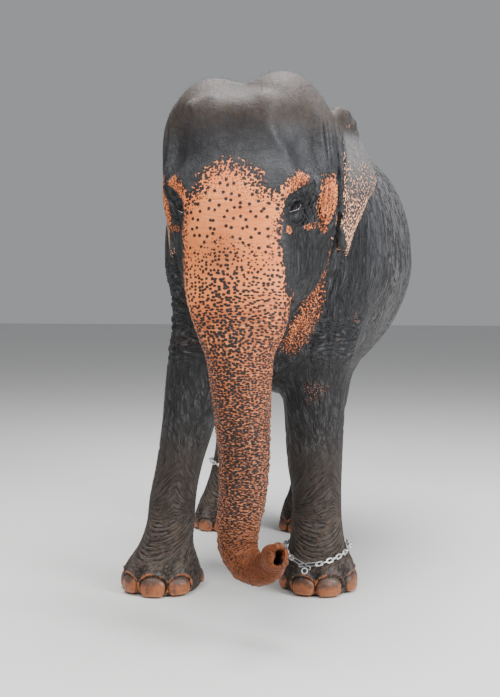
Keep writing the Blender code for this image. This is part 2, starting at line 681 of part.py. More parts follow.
def build_eyes(face, parts, guides):
    for name, side in (("right", -1), ("left", 1)):
        place = Matrix.Translation(head(side * EYE_PLACE[0], *EYE_PLACE[1:]))
        room = guide(ball("socket_" + name, [EYE_RADIUS + FIT + 0.0006] * 3, place, guides, 10, 6))
        boolean(face, room, "DIFFERENCE")
        out = Vector(head(side, EYE_TURN, 0)) - Vector(head(0, 0, 0))
        aim = out.to_track_quat("Z", "Y").to_matrix().to_4x4()
        lids = Matrix.Translation(Vector(head(side * EYE_PLACE[0], *EYE_PLACE[1:])) + out.normalized() * 0.03)
        slit = guide(ball("lids_" + name, (0.017, 0.024, 0.034), lids @ aim, guides, 8, 5))
        boolean(face, slit, "DIFFERENCE")
        eye = ball("eye_" + name, [EYE_RADIUS] * 3, place, parts, 10, 6)
        paint(eye, EYE, 0.1)


NAILS = {  # the way the foot points, and where its nails are round it, in degrees
    "fore_right": (0.0, (-82, -45, -2, 38, 112)),
    "fore_left": (23.0, (-94, -42, -1, 47, 86)),
    "hind_right": (-4.0, (-58, -20, 20, 58)),
    "hind_left": (4.0, (-58, -20, 20, 58)),
}


def build_nails(feet, parts, guides):
    """Thick curved nails round the front of each foot."""
    for name, (toe_out, angles) in NAILS.items():
        leg = LEGS[name]
        cx, cy, wide, deep = eased(leg, NAIL_HEIGHT)
        size = 1.0 if name.startswith("fore") else 0.82
        for number, angle in enumerate(angles, 1):
            turn = math.radians(angle + toe_out)
            middle = 1.0 - NAIL_CURVE * abs(angle) / 80.0
            spot = (cx + wide * math.sin(turn) * 0.955, cy - deep * math.cos(turn) * 0.955, NAIL_HEIGHT * size)
            place = (Matrix.Translation(spot) @ Matrix.Rotation(turn, 4, "Z")
                     @ Matrix.Rotation(math.radians(-8), 4, "X"))
            radii = [v * size * middle for v in NAIL_SIZE]
            nail = ball(f"nail_{name}_{number}", radii, place, parts, 8, 4)
            paint(nail, NAIL, 0.5)
            fitted(nail, [feet[name]], guides)


def chain_ring(name, leg, low, high, lowest, room, links, parts):
    """A chain laid round a leg, each link a flat length, turned a quarter from the next."""
    curve_points = []
    for i in range(2 * links):
        angle = math.pi * i / links
        away = (math.degrees(angle) - lowest + 180) % 360 - 180
        z = low + (high - low) * min(1.0, abs(away) / CHAIN_RISE[away > 0])
        cx, cy, wide, deep = eased(leg, z)
        curve_points.append(Vector((cx + (wide + room) * math.sin(angle),
                                    cy - (deep + room) * math.cos(angle), z)))
    work = bmesh.new()
    rings = []
    count = len(curve_points)
    for i, point in enumerate(curve_points):
        ahead = (curve_points[(i + 1) % count] - curve_points[i - 1]).normalized()
        side = ahead.cross(Vector((0, 0, 1))).normalized()
        up = side.cross(ahead)
        flat = (i // 2) % 2 == 0
        out, tall = (CHAIN_HALF, CHAIN_WIRE) if flat else (CHAIN_WIRE, CHAIN_HALF)
        middle = point - Vector((*MIDDLE, 0))
        rings.append([work.verts.new(middle + side * out * math.cos(a) + up * tall * math.sin(a))
                      for a in (math.radians(90 * k) for k in range(4))])
    for i in range(count):
        for k in range(4):
            work.faces.new((rings[i][k], rings[i][(k + 1) % 4],
                            rings[(i + 1) % count][(k + 1) % 4], rings[(i + 1) % count][k]))
    bmesh.ops.recalc_face_normals(work, faces=work.faces)
    bmesh.ops.triangulate(work, faces=work.faces)
    mesh = bpy.data.meshes.new(name)
    work.to_mesh(mesh)
    work.free()
    paint(put(name, mesh, parts), STEEL, 0.35, 1.0)


def build():
    for obj in list(bpy.data.objects):
        bpy.data.objects.remove(obj)
    parts = bpy.data.collections.new("asian_elephant")
    guides = bpy.data.collections.new("cutters")
    for collection in (parts, guides):
        bpy.context.scene.collection.children.link(collection)

    clay = Clay(FIELD_LOW, FIELD_HIGH, BODY_CELL)
    shape_body(clay)
    clay.merge(shape_head(clay), 0.10)
    clay.merge(shape_trunk(clay), 0.07)
    clay.field = np.maximum(clay.field, -clay.window(clay.low, clay.low + FAR)[1][2])
    torso = cast(clay, "torso", parts, BODY_FACES, body_coarse)
    for vert in torso.data.vertices:  # level soles
        if vert.co.z < 0.004:
            vert.co.z = 0.0
    whole = guide(copy_of(torso, "flesh", guides, FIT))

    feet = build_legs(torso, parts, guides)
    neck = split(torso, NECK_BACK, (0.0, -1.0, 0.06), "neck", parts)
    facing = (-math.sin(HEAD_YAW), -math.cos(HEAD_YAW), 0.05)
    face = split(neck, head(0, NECK_FRONT, 1.95), facing, "head", parts)
    tip = build_trunk(face, parts)
    build_nostrils(tip, guides)

    clay = Clay((-0.36, -1.62, 1.28), (0.34, -1.02, 1.84), TAIL_CELL)
    shape_jaw(clay)
    jaw = cast(clay, "lower_jaw", parts, JAW_FACES)
    boolean(jaw, whole, "DIFFERENCE")

    for name, side in (("right", -1), ("left", 1)):
        middle = Vector(head(side * 0.42, -0.25, 2.1))
        clay = Clay(middle - Vector((0.24, 0.42, 0.42)), middle + Vector((0.24, 0.42, 0.42)), EAR_CELL)
        shape_ear(clay, side)
        ear = cast(clay, "ear_" + name, parts, EAR_FACES)
        boolean(ear, whole, "DIFFERENCE")

    clay = Clay((-0.16, 0.90, 0.66), (0.14, 1.34, 2.20), TAIL_CELL)
    shape_tail(clay)
    tail = cast(clay, "tail", parts, TAIL_FACES)
    boolean(tail, whole, "DIFFERENCE")
    for member in parts.objects:
        paint(member, PINK if member.name.startswith("trunk") else SKIN)
    end = Vector(TAIL[-1][1:4]) - Vector((0.0, 0.0, 0.09))
    brush = ball("tail_tuft", TUFT_SIZE, Matrix.Translation(end), parts, 7, 5)
    paint(brush, HAIR)
    fitted(brush, [tail], guides)

    build_eyes(face, parts, guides)
    build_nails(feet, parts, guides)
    for name, (leg, *layout) in CHAINS.items():
        chain_ring(name, LEGS[leg], *layout, parts)


build()
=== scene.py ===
"""The looks of a life-size Asian elephant: one wrinkled, speckled skin over the flesh of the
frame, with eyes, nails, hair and chain links as pieces of their own.  Lengths are in metres."""
import math
from itertools import product

import bmesh
import bpy
import numpy as np
import openvdb
from mathutils import Matrix, Vector


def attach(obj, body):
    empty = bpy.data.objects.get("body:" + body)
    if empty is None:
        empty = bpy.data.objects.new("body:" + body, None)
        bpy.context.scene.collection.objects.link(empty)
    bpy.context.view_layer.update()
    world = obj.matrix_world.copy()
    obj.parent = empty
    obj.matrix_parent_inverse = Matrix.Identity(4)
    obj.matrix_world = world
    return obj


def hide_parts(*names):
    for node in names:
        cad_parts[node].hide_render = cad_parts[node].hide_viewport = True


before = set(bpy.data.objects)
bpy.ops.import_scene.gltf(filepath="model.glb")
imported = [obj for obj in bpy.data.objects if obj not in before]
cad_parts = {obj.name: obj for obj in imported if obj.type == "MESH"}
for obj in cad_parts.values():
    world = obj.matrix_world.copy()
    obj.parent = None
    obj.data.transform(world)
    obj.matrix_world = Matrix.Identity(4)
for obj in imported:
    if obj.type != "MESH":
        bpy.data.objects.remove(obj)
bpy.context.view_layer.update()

# ---------------------------------------------------------------- driving sizes
FAR = 0.3  # the distance that empty clay holds
FAR_OFF = 9.0  # further than any distance on the body
SKIN_CELL = 0.0105  # grid of the skin before the fine parts are halved again
MIDDLE = (-0.0088, -0.3629)  # from the frame of the sizes below to the middle of the box round it
FIELD_LOW = (-0.86, -2.10, -0.05)
FIELD_HIGH = (0.90, 1.40, 2.74)

HEAD_PLACE = (-0.020, -1.30)
HEAD_YAW = math.radians(5.0)  # the head turns to the animal's right

EYE_PLACE = (0.258, 0.232, 1.953)  # to the side, forwards, up
EYE_RADIUS = 0.021
EYE_TURN = 0.75  # how far forwards the eyes look, for each part to the side
EAR_HINGE = -0.066  # how far forwards the ear's root is
EAR_FLARE = math.radians(14.4)
EAR_THICK = 0.018
EAR_CUP = 0.030  # how far its middle bulges outwards

NAIL_SIZE = (0.066, 0.034, 0.050)  # half width, half thickness, half height
NAIL_HEIGHT = 0.056
NAIL_CURVE = 0.18  # how much smaller the outermost nails are
NAIL_SUNK = 0.955  # how far out their middles are, for each part of the foot's half width
HIND_NAILS = 0.82  # their size beside the nails of the forefeet
CHAIN_RISE = (58.0, 88.0)  # degrees round the leg from a ring's lowest point to its highest, each way
CHAINS = {  # ring: leg, lowest and highest point, where it is lowest, room round the leg, has long links
    "chain_fore_left": ("fore_left", 0.157, 0.222, -15, 0.022, True),
    "chain_hind_right": ("hind_right", 0.414, 0.438, 0, 0.021, False),
}
RING_POINTS = 720
TORSO = [  # y, top, bottom, half width, x
    (-1.14, 2.10, 1.56, 0.20, -0.01), (-1.02, 2.25, 1.27, 0.40, -0.01), (-0.78, 2.33, 1.10, 0.53, 0.00),
    (-0.45, 2.41, 1.01, 0.595, 0.030), (-0.05, 2.47, 0.965, 0.648, 0.082), (0.28, 2.46, 0.975, 0.658, 0.090),
    (0.58, 2.38, 1.05, 0.630, 0.058), (0.80, 2.24, 1.18, 0.54, 0.015), (0.93, 2.08, 1.36, 0.36, -0.01),
    (0.98, 1.95, 1.50, 0.16, -0.02),
]
# each leg: height, x, y, half width, half depth
FORE_RIGHT = [
    (0.00, -0.548, -0.865, 0.192, 0.205), (0.05, -0.548, -0.870, 0.207, 0.222),
    (0.13, -0.548, -0.868, 0.190, 0.208), (0.22, -0.534, -0.858, 0.146, 0.168),
    (0.34, -0.510, -0.850, 0.126, 0.146), (0.49, -0.495, -0.850, 0.122, 0.140),
    (0.66, -0.461, -0.845, 0.122, 0.142), (0.86, -0.417, -0.825, 0.138, 0.170),
    (1.10, -0.381, -0.790, 0.157, 0.215), (1.35, -0.350, -0.760, 0.160, 0.245),
    (1.55, -0.320, -0.740, 0.120, 0.180), (1.66, -0.290, -0.740, 0.040, 0.060),
]
FORE_LEFT = [
    (0.00, 0.273, -0.745, 0.180, 0.205), (0.05, 0.272, -0.750, 0.195, 0.222),
    (0.13, 0.270, -0.750, 0.186, 0.208), (0.22, 0.265, -0.742, 0.152, 0.168),
    (0.34, 0.260, -0.738, 0.135, 0.150), (0.49, 0.260, -0.738, 0.131, 0.145),
    (0.66, 0.250, -0.742, 0.145, 0.150), (0.88, 0.248, -0.748, 0.156, 0.180),
    (1.08, 0.250, -0.750, 0.165, 0.215), (1.35, 0.280, -0.745, 0.172, 0.245),
    (1.55, 0.300, -0.740, 0.120, 0.180), (1.66, 0.280, -0.740, 0.040, 0.060),
]
HIND_RIGHT = [
    (0.00, -0.500, 0.672, 0.152, 0.178), (0.05, -0.500, 0.670, 0.166, 0.192),
    (0.13, -0.495, 0.678, 0.157, 0.180), (0.25, -0.478, 0.705, 0.124, 0.142),
    (0.42, -0.440, 0.735, 0.115, 0.128), (0.60, -0.400, 0.735, 0.130, 0.160),
    (0.80, -0.370, 0.690, 0.155, 0.225), (1.02, -0.350, 0.640, 0.180, 0.290),
    (1.28, -0.330, 0.640, 0.195, 0.320), (1.48, -0.300, 0.670, 0.130, 0.220),
    (1.60, -0.280, 0.680, 0.040, 0.070),
]
HIND_LEFT = [
    (0.00, 0.066, 0.692, 0.152, 0.178), (0.05, 0.066, 0.690, 0.166, 0.192),
    (0.13, 0.070, 0.698, 0.157, 0.180), (0.25, 0.085, 0.720, 0.124, 0.142),
    (0.42, 0.100, 0.745, 0.115, 0.128), (0.60, 0.150, 0.740, 0.130, 0.160),
    (0.80, 0.182, 0.690, 0.149, 0.225), (1.02, 0.205, 0.640, 0.168, 0.290),
    (1.28, 0.240, 0.640, 0.186, 0.320), (1.48, 0.260, 0.670, 0.130, 0.220),
    (1.60, 0.250, 0.680, 0.040, 0.070),
]
LEGS = {"fore_right": FORE_RIGHT, "fore_left": FORE_LEFT, "hind_right": HIND_RIGHT, "hind_left": HIND_LEFT}
MASK = [  # the front of the face: height, forwards, half width, half depth
    (1.34, 0.275, 0.050, 0.040), (1.40, 0.275, 0.140, 0.095), (1.50, 0.255, 0.195, 0.130),
    (1.62, 0.210, 0.230, 0.180), (1.78, 0.160, 0.255, 0.240), (1.92, 0.135, 0.282, 0.262),
    (2.03, 0.110, 0.318, 0.272), (2.12, 0.095, 0.318, 0.254), (2.22, 0.080, 0.278, 0.212),
    (2.31, 0.070, 0.245, 0.200), (2.375, 0.080, 0.228, 0.232), (2.43, 0.075, 0.204, 0.226),
    (2.49, 0.050, 0.120, 0.150), (2.52, 0.030, 0.040, 0.060),
]
RIDGE = [  # the forehead's edge on each side: to the side, forwards, up, how far it leans to the left
    (0.120, 0.258, 2.445, 0.000), (0.180, 0.256, 2.405, -0.040), (0.196, 0.252, 2.345, -0.038),
    (0.216, 0.248, 2.290, -0.024), (0.254, 0.248, 2.220, -0.009), (0.292, 0.240, 2.145, 0.000),
    (0.318, 0.215, 2.085, 0.000), (0.328, 0.170, 2.035, 0.000),
]
RIDGE_WIDTH = 0.029
TRUNK = [  # length along the trunk, x, y, height, half width, half depth
    (0.00, -0.034, -1.47, 2.02, 0.215, 0.17), (0.25, -0.037, -1.50, 1.77, 0.240, 0.20),
    (0.43, -0.034, -1.555, 1.58, 0.240, 0.170), (0.56, -0.024, -1.58, 1.46, 0.219, 0.152),
    (0.69, -0.026, -1.60, 1.33, 0.163, 0.142), (0.80, -0.021, -1.605, 1.21, 0.147, 0.136),
    (1.02, -0.010, -1.610, 0.99, 0.128, 0.127), (1.22, -0.002, -1.615, 0.79, 0.117, 0.118),
    (1.42, -0.012, -1.635, 0.60, 0.108, 0.106), (1.54, -0.026, -1.66, 0.48, 0.097, 0.094),
    (1.63, -0.012, -1.695, 0.395, 0.087, 0.085), (1.70, 0.032, -1.735, 0.350, 0.079, 0.078),
    (1.77, 0.088, -1.772, 0.340, 0.072, 0.072), (1.84, 0.137, -1.808, 0.362, 0.067, 0.067),
    (1.90, 0.158, -1.846, 0.400, 0.062, 0.062), (1.94, 0.163, -1.884, 0.424, 0.059, 0.059),
    (1.98, 0.179, -1.918, 0.434, 0.058, 0.058),
]
TAIL = [  # length along the tail, x, y, height, radius
    (0.00, -0.020, 1.06, 2.04, 0.080), (0.16, -0.020, 1.17, 1.94, 0.062), (0.36, -0.020, 1.205, 1.74, 0.047),
    (0.70, -0.012, 1.195, 1.40, 0.035), (1.00, -0.004, 1.185, 1.10, 0.026),
    (1.16, 0.000, 1.185, 0.94, 0.020),
]
NOSTRIL = 0.0150  # how far each nostril is from the middle of the trunk's end
EAR = [  # height, front edge, back edge, how far to the side the hinge is
    (1.745, 0.095, 0.112, 0.395), (1.80, 0.062, 0.130, 0.400), (1.87, 0.020, 0.165, 0.405),
    (1.95, -0.040, 0.232, 0.410), (2.03, -0.060, 0.315, 0.412), (2.09, -0.060, 0.425, 0.413),
    (2.14, -0.060, 0.480, 0.413), (2.19, -0.060, 0.408, 0.412), (2.25, -0.060, 0.322, 0.408),
    (2.32, -0.060, 0.215, 0.398), (2.38, -0.050, 0.180, 0.385), (2.43, 0.020, 0.140, 0.372),
]
RIM = [(0.02, 2.405, 0.015), (0.07, 2.430, 0.019), (0.13, 2.420, 0.023), (0.17, 2.365, 0.021)]

NAILS = {  # the way the foot points, and where its nails are round it, in degrees
    "fore_right": (0.0, (-82, -45, -2, 38, 112)),
    "fore_left": (23.0, (-94, -42, -1, 47, 86)),
    "hind_right": (-4.0, (-58, -20, 20, 58)),
    "hind_left": (4.0, (-58, -20, 20, 58)),
}
LID_TILT = math.radians(-27.0)
LID_REACH = 0.047  # half the length of the opening between the lids
LID_GAP = 0.0058
LID_THICK = 0.0045
LID_FOLDS = (  # place over the lids' opening, size, width; the negative ones are creases under the bag
    (0.019, -0.0065, 0.0040), (0.031, 0.0070, 0.0075), (0.043, -0.0060, 0.0045), (0.058, 0.0050, 0.0085),
    (-0.062, -0.0060, 0.0050), (-0.074, 0.0030, 0.006), (-0.084, -0.0035, 0.004))
MOST_BRISTLES, LASHES, BRUSH_HAIRS = 5200, 22, 420
PATCH = 0.0015  # half size of the spot of the flat layout that colours one hair
LONG_LINKS = (  # from and to along the ring, how far each end drops, how far it stands out
    (-0.100, 0.030, (0.0, 0.014), (0.0, 0.010)),
    (-0.042, 0.066, (0.012, -0.002), (-0.002, 0.0)),
)
LINK = (0.0185, 0.0100, 0.0040)  # half length and half width of a link's middle line, half its wire
LINK_PITCH = 0.0295
LONG_LINK = (0.0080, 0.0036)  # half width of a long link's middle line, half its wire
HANGING_RING = (0.0145, 0.0140, 0.0034)  # the same sizes as of LINK
HANGS_AT = (0, -0.008, -0.020)  # its middle, from the lowest point of the chain's ring
EAR_FLAP = [  # the rolled top of the ear: back, height, how far out, radius
    (0.00, 2.395, 0.010, 0.014), (0.05, 2.428, 0.020, 0.021), (0.10, 2.425, 0.030, 0.025),
    (0.145, 2.385, 0.034, 0.025), (0.175, 2.335, 0.030, 0.019), (0.190, 2.290, 0.020, 0.011)]
FRECKLES = (  # height, share covered along the middle of the face and trunk, share at its sides
    (0.30, 0.42, 0.55, 0.70, 0.95, 1.25, 1.40, 1.50, 1.60, 1.68, 1.76, 1.85, 1.93, 2.02, 2.10, 2.18),
    (0.30, 0.52, 0.66, 0.68, 0.66, 0.66, 0.63, 0.57, 0.54, 0.42, 0.30, 0.16, 0.13, 0.18, 0.34, 0.62),
    (0.22, 0.40, 0.56, 0.60, 0.60, 0.54, 0.46, 0.40, 0.38, 0.28, 0.20, 0.13, 0.13, 0.24, 0.42, 0.70))
COVERED = (  # share of the skin within a distance of a spot's middle, in cells
    (0.0, 0.02, 0.05, 0.1, 0.2, 0.3, 0.4, 0.5, 0.6, 0.7, 0.8, 0.9, 0.95, 0.98, 1.0),
    (0.0, 0.080, 0.126, 0.179, 0.254, 0.312, 0.366, 0.415, 0.464, 0.516, 0.573, 0.649, 0.708, 0.77, 1.4))
PALE_PINK, DEEP_PINK, TAN = (0.93, 0.285, 0.080, 1), (0.83, 0.205, 0.050, 1), (0.60, 0.165, 0.045, 1)
# the second colour below is a pale grey painted on as sheen where the ears and flank face the lamps
EAR_PINK, SHEEN_GREY = (0.86, 0.48, 0.30, 1), (0.17, 0.165, 0.165, 1)
# the first colour below is a darker pink painted into the grooves of the pale skin as shade
PINK_CREASE_SHADE, BROWN_PINK = (0.36, 0.080, 0.020, 1), (0.46, 0.150, 0.058, 1)
# the second colour below lightens the ridges of the folds: partly worn skin, partly a painted highlight
TIP_BROWN, WORN_AND_HIGHLIT_SKIN = (0.175, 0.0500, 0.0170, 1), (0.095, 0.096, 0.102, 1)
DARK_SKIN, GREY_SKIN = (0.0135, 0.0138, 0.0155, 1), (0.033, 0.033, 0.036, 1)
# the first colour below is near black painted shade, for the grooves of the folds, the hollows round the
# eyes and under the cheeks
PAINTED_SHADE, SPOT, DUSTY = (0.004, 0.004, 0.005, 1), (0.014, 0.013, 0.014, 1), (0.098, 0.066, 0.046, 1)
# the first colour below darkens the legs: painted shade under the body
# the last colour below is near black: painted shade inside the nostrils
SHADED_LEG_SKIN, CUTICLE, NOSTRIL_SHADE = (0.0088, 0.0076, 0.0068, 1), (0.36, 0.12, 0.045, 1), (0.012, 0.006, 0.005, 1)
EAR_COVER = (  # height, share of the ear that dark skin covers
    (1.75, 1.85, 1.95, 2.05, 2.16, 2.26), (0.54, 0.62, 0.74, 0.84, 0.92, 1.0))
MARK_TALL = (  # height, height of one mark
    (0.3, 0.95, 1.30, 1.50, 1.70, 2.0), (0.0062, 0.0068, 0.0102, 0.0165, 0.0195, 0.0190))
MARK_WIDE = ((0.3, 1.0, 1.3, 1.5, 1.7), (0.0165, 0.0170, 0.0195, 0.0210, 0.0210))
TRUNK_BROWN = (  # height, how brown the trunk's pale skin is
    (0.02, 0.24, 0.42, 0.60, 1.0, 1.4, 1.7), (1.0, 1.0, 0.84, 0.55, 0.36, 0.16, 0.0))
CHEEK = [  # the crease under the cheek and the jaw, in the head's frame
    (0.430, -0.075, 1.930), (0.415, -0.065, 1.840), (0.392, -0.060, 1.740), (0.350, -0.020, 1.640),
    (0.300, 0.030, 1.560), (0.255, 0.080, 1.500)]
SPECKLED = [  # the band of freckles down the neck, behind the cheek, on the left: x, y, z, half width
    (0.385, -1.200, 1.775, 0.016), (0.370, -1.190, 1.720, 0.030), (0.345, -1.170, 1.660, 0.042),
    (0.285, -1.100, 1.530, 0.062), (0.215, -1.070, 1.430, 0.066), (0.150, -1.040, 1.310, 0.045)]
TURN_BACK = 0.34  # how far forwards the face is where it turns back; outlines are measured round it
PINK_FACE = [  # outline of the pale part of the face: round to the left, up
    (-0.020, 2.150), (-0.086, 2.130), (-0.131, 2.085), (-0.146, 2.030), (-0.186, 1.975), (-0.228, 1.944),
    (-0.235, 1.850), (-0.250, 1.700), (-0.290, 1.580), (-0.290, 1.300), (0.270, 1.300), (0.285, 1.500),
    (0.244, 1.635), (0.226, 1.750), (0.216, 1.850), (0.212, 1.915), (0.214, 1.960), (0.205, 1.985),
    (0.165, 1.990), (0.120, 2.038), (0.098, 2.090), (0.052, 2.122)]
PINK_BROW = [
    (0.225, 1.940), (0.251, 1.994), (0.292, 2.022), (0.321, 2.041), (0.363, 2.060), (0.395, 2.068),
    (0.420, 2.090), (0.367, 2.112), (0.307, 2.088), (0.268, 2.064), (0.236, 2.036), (0.206, 1.990),
    (0.205, 1.950)]
PINK_CHEEK = [  # the pale swelling behind each eye
    (0.528, 2.006), (0.552, 2.048), (0.620, 2.080), (0.706, 2.086), (0.757, 2.050), (0.752, 1.990),
    (0.716, 1.942), (0.676, 1.905), (0.650, 1.872), (0.622, 1.858), (0.592, 1.884), (0.556, 1.936)]
PINK_BAG = [(0.268, 1.846), (0.290, 1.838), (0.330, 1.850), (0.316, 1.862), (0.280, 1.862)]
PINK_LASH = [(0.440, 1.866), (0.500, 1.860), (0.545, 1.872), (0.540, 1.886), (0.480, 1.884)]
CHEEK_FOLDS = (0.562, 0.612, 0.668, 0.722)
EAR_FOLDS = (0.625, 0.668, 0.715, 0.758, 0.800)
SOCKET = (0.370, 1.950, 0.140, 0.088)  # round, up, half width, half height of the hollow round an eye, whose skin is dark and which painted shade darkens further
SHIFT = np.array((*MIDDLE, 0.0), np.float32)
CAMERA_PLACE = (0.736, -6.6755, 1.6)  # a standing person's eye
CAMERA_DOWN, CAMERA_TURN = math.radians(3.174), math.radians(8.0)
LENS, SENSOR = 58.21, 36.0  # in millimetres
LAMP_AIM = (0, -0.3, 1.3)  # where the lamps point
LAMPS = (  # name, place, size, power, colour
    ("key", (-2.0, -7.0, 7.0), 3.5, 430, (1.0, 0.98, 0.95)),
    ("top", (0.2, 0.0, 7.2), 5.0, 940, (0.97, 0.98, 1.0)),
    ("side", (5.8, -3.6, 4.4), 3.2, 680, (0.95, 0.97, 1.0)))


# ---------------------------------------------------------------- clay
def eased(stations, t):
    """Smooth values between stations, each (place, value, value ...), at the places t."""
    table = np.array(stations, float)
    place, values = table[:, 0], table[:, 1:]
    slope = np.gradient(values, place, axis=0)
    t = np.clip(np.asarray(t, float), place[0], place[-1])
    i = np.clip(np.searchsorted(place, t) - 1, 0, len(place) - 2)
    width = place[i + 1] - place[i]
    u = ((t - place[i]) / width)[..., None]
    width = width[..., None]
    rise = 3 * u**2 - 2 * u**3
    value = (values[i] * (1 - rise) + values[i + 1] * rise
             + slope[i] * width * (u - 2 * u**2 + u**3) + slope[i + 1] * width * (u**3 - u**2))
    return np.moveaxis(value, -1, 0)


class Clay:
    """A block of space on a cubic grid that holds the distance to a shape, negative inside."""

    def __init__(self, low, high, cell):
        self.low, self.cell = np.array(low, float), cell
        count = np.ceil((np.array(high) - self.low) / cell).astype(int) + 1
        self.field = np.full(count, FAR, np.float32)

    def window(self, low, high):
        """The part of the grid between two corners, and its coordinates."""
        first = np.clip(np.floor((np.array(low) - self.low) / self.cell), 0, None).astype(int)
        last = np.minimum(np.ceil((np.array(high) - self.low) / self.cell).astype(int) + 1,
                          self.field.shape)
        place = tuple(slice(a, max(a, b)) for a, b in zip(first, last))
        x, y, z = (np.float32(self.low[i] + self.cell * np.arange(place[i].start, place[i].stop))
                   for i in range(3))
        return place, (x[:, None, None], y[None, :, None], z[None, None, :])

    def patch(self, low, high):
        """An empty block on the same grid, between two corners."""
        place, _ = self.window(low, high)
        other = Clay(self.low, self.low, self.cell)
        other.low = self.low + self.cell * np.array([p.start for p in place])
        other.field = np.full([p.stop - p.start for p in place], FAR, np.float32)
        return other

    @staticmethod
    def joined(old, new, blend):
        """The nearer of two distances, with a fillet about as wide as blend."""
        if not blend:
            return np.minimum(old, new)
        h = np.clip(blend - np.abs(old - new), 0, None) / blend
        return np.minimum(old, new) - h * h * blend * 0.25

    def work(self, shape, blend, sign):
        low, high, distance = shape
        margin = blend + 0.08
        place, axes = self.window(np.array(low) - margin, np.array(high) + margin)
        if self.field[place].size:
            self.field[place] = sign * self.joined(sign * self.field[place], distance(*axes), blend)

    def add(self, shape, blend=0.0):
        self.work(shape, blend, 1)

    def carve(self, shape, blend=0.0):
        self.work(shape, blend, -1)

    def string(self, points, radii, blend=0.0, sign=1):
        """Rods from point to point, carved where sign is -1."""
        for a, b, ra, rb in zip(points, points[1:], radii, radii[1:]):
            self.work(rod(a, b, ra, rb), blend, sign)

    def merge(self, other, blend=0.0):
        first = np.rint((other.low - self.low) / self.cell).astype(int)
        place = tuple(slice(a, a + n) for a, n in zip(first, other.field.shape))
        self.field[place] = self.joined(self.field[place], other.field, blend)

    def soften(self, radius):
        """Average the field over about the given radius, which rounds its creases."""
        for _ in range(max(1, round((radius / self.cell)**2))):
            for axis in range(3):
                near = np.roll(self.field, 1, axis) + np.roll(self.field, -1, axis)
                self.field = 0.5 * self.field + 0.25 * near


def ellipsoid(centre, radii, turn=(0.0, 0.0, 0.0)):
    """An ellipsoid with its axes turned by the angles turn, in degrees."""
    axes = np.array(Matrix.Rotation(math.radians(turn[2]), 3, "Z")
                    @ Matrix.Rotation(math.radians(turn[1]), 3, "Y")
                    @ Matrix.Rotation(math.radians(turn[0]), 3, "X"))
    centre, radii = np.array(centre, float), np.array(radii, float)
    reach = radii.max()

    def distance(x, y, z):
        p = [x - centre[0], y - centre[1], z - centre[2]]
        q = [axes[0][i] * p[0] + axes[1][i] * p[1] + axes[2][i] * p[2] for i in range(3)]
        k0 = np.sqrt(sum((q[i] / radii[i])**2 for i in range(3)))
        k1 = np.sqrt(sum((q[i] / radii[i]**2)**2 for i in range(3))) + 1e-6
        return k0 * (k0 - 1) / k1
    return centre - reach, centre + reach, distance


def section(across, along, half_across, half_along, power):
    """Distance in a plane to a rounded outline with the given half widths."""
    u, v = np.abs(across) / half_across, np.abs(along) / half_along
    r = (u**power + v**power)**(1 / power) + 1e-4
    return np.sqrt(across**2 + along**2 + 1e-8) * (1 - 1 / r) - 1e-5


def column(stations, power=2.15, yaw=0.0):
    """An upright member from its stations (height, x, y, half width, half depth)."""
    table = np.array(stations)
    low = [(table[:, 1] - table[:, 3]).min(), (table[:, 2] - table[:, 4]).min(), table[0, 0]]
    high = [(table[:, 1] + table[:, 3]).max(), (table[:, 2] + table[:, 4]).max(), table[-1, 0]]
    c, s = math.cos(yaw), math.sin(yaw)

    def distance(x, y, z):
        cx, cy, wide, deep = (v.astype(np.float32) for v in eased(stations, z))
        side = section((x - cx) * c - (y - cy) * s, (x - cx) * s + (y - cy) * c, wide, deep, power)
        return np.maximum(side, np.maximum(table[0, 0] - z, z - table[-1, 0]))
    return low, high, distance


def barrel(stations, upper=2.3, lower=1.62):
    """A body along Y from its stations (y, top, bottom, half width, x)."""
    table = np.array(stations)
    low = [(table[:, 4] - table[:, 3]).min(), table[0, 0], table[:, 2].min()]
    high = [(table[:, 4] + table[:, 3]).max(), table[-1, 0], table[:, 1].max()]

    def distance(x, y, z):
        top, bottom, wide, cx = (v.astype(np.float32) for v in eased(stations, y))
        middle, tall = (top + bottom) / 2, (top - bottom) / 2
        above = section(x - cx, z - middle, wide, tall, upper)
        below = section(x - cx, z - middle, wide, tall, lower)
        side = np.where(z > middle, above, below)
        return np.maximum(side, np.maximum(table[0, 0] - y, y - table[-1, 0]))
    return low, high, distance


def rod(a, b, ra, rb, across=(1.0, 0.0, 0.0), flat=1.0):
    """A tapered rod from a to b; its width along the direction across is flat times its depth."""
    a, b, across = (np.array(v, np.float32) for v in (a, b, across))
    span = b - a
    reach = max(ra, rb) * max(1.0, flat)

    def distance(x, y, z):
        p = [x - a[0], y - a[1], z - a[2]]
        t = np.clip((p[0] * span[0] + p[1] * span[1] + p[2] * span[2]) / (span @ span), 0, 1)
        q = [p[i] - t * span[i] for i in range(3)]
        s = q[0] * across[0] + q[1] * across[1] + q[2] * across[2]
        whole = q[0]**2 + q[1]**2 + q[2]**2
        r = ra + (rb - ra) * t
        k = np.sqrt((s / (r * flat))**2 + np.clip(whole - s * s, 0, None) / r**2) + 1e-4
        return np.sqrt(whole + 1e-10) * (1 - 1 / k)
    return np.minimum(a, b) - reach, np.maximum(a, b) + reach, distance


# ---------------------------------------------------------------- anatomy
def head(side, forward, height):
    """A point of the head, from its own middle plane: to its left, forwards and up."""
    c, s = math.cos(HEAD_YAW), math.sin(HEAD_YAW)
    return (HEAD_PLACE[0] + side * c - forward * s, HEAD_PLACE[1] - side * s - forward * c, height)


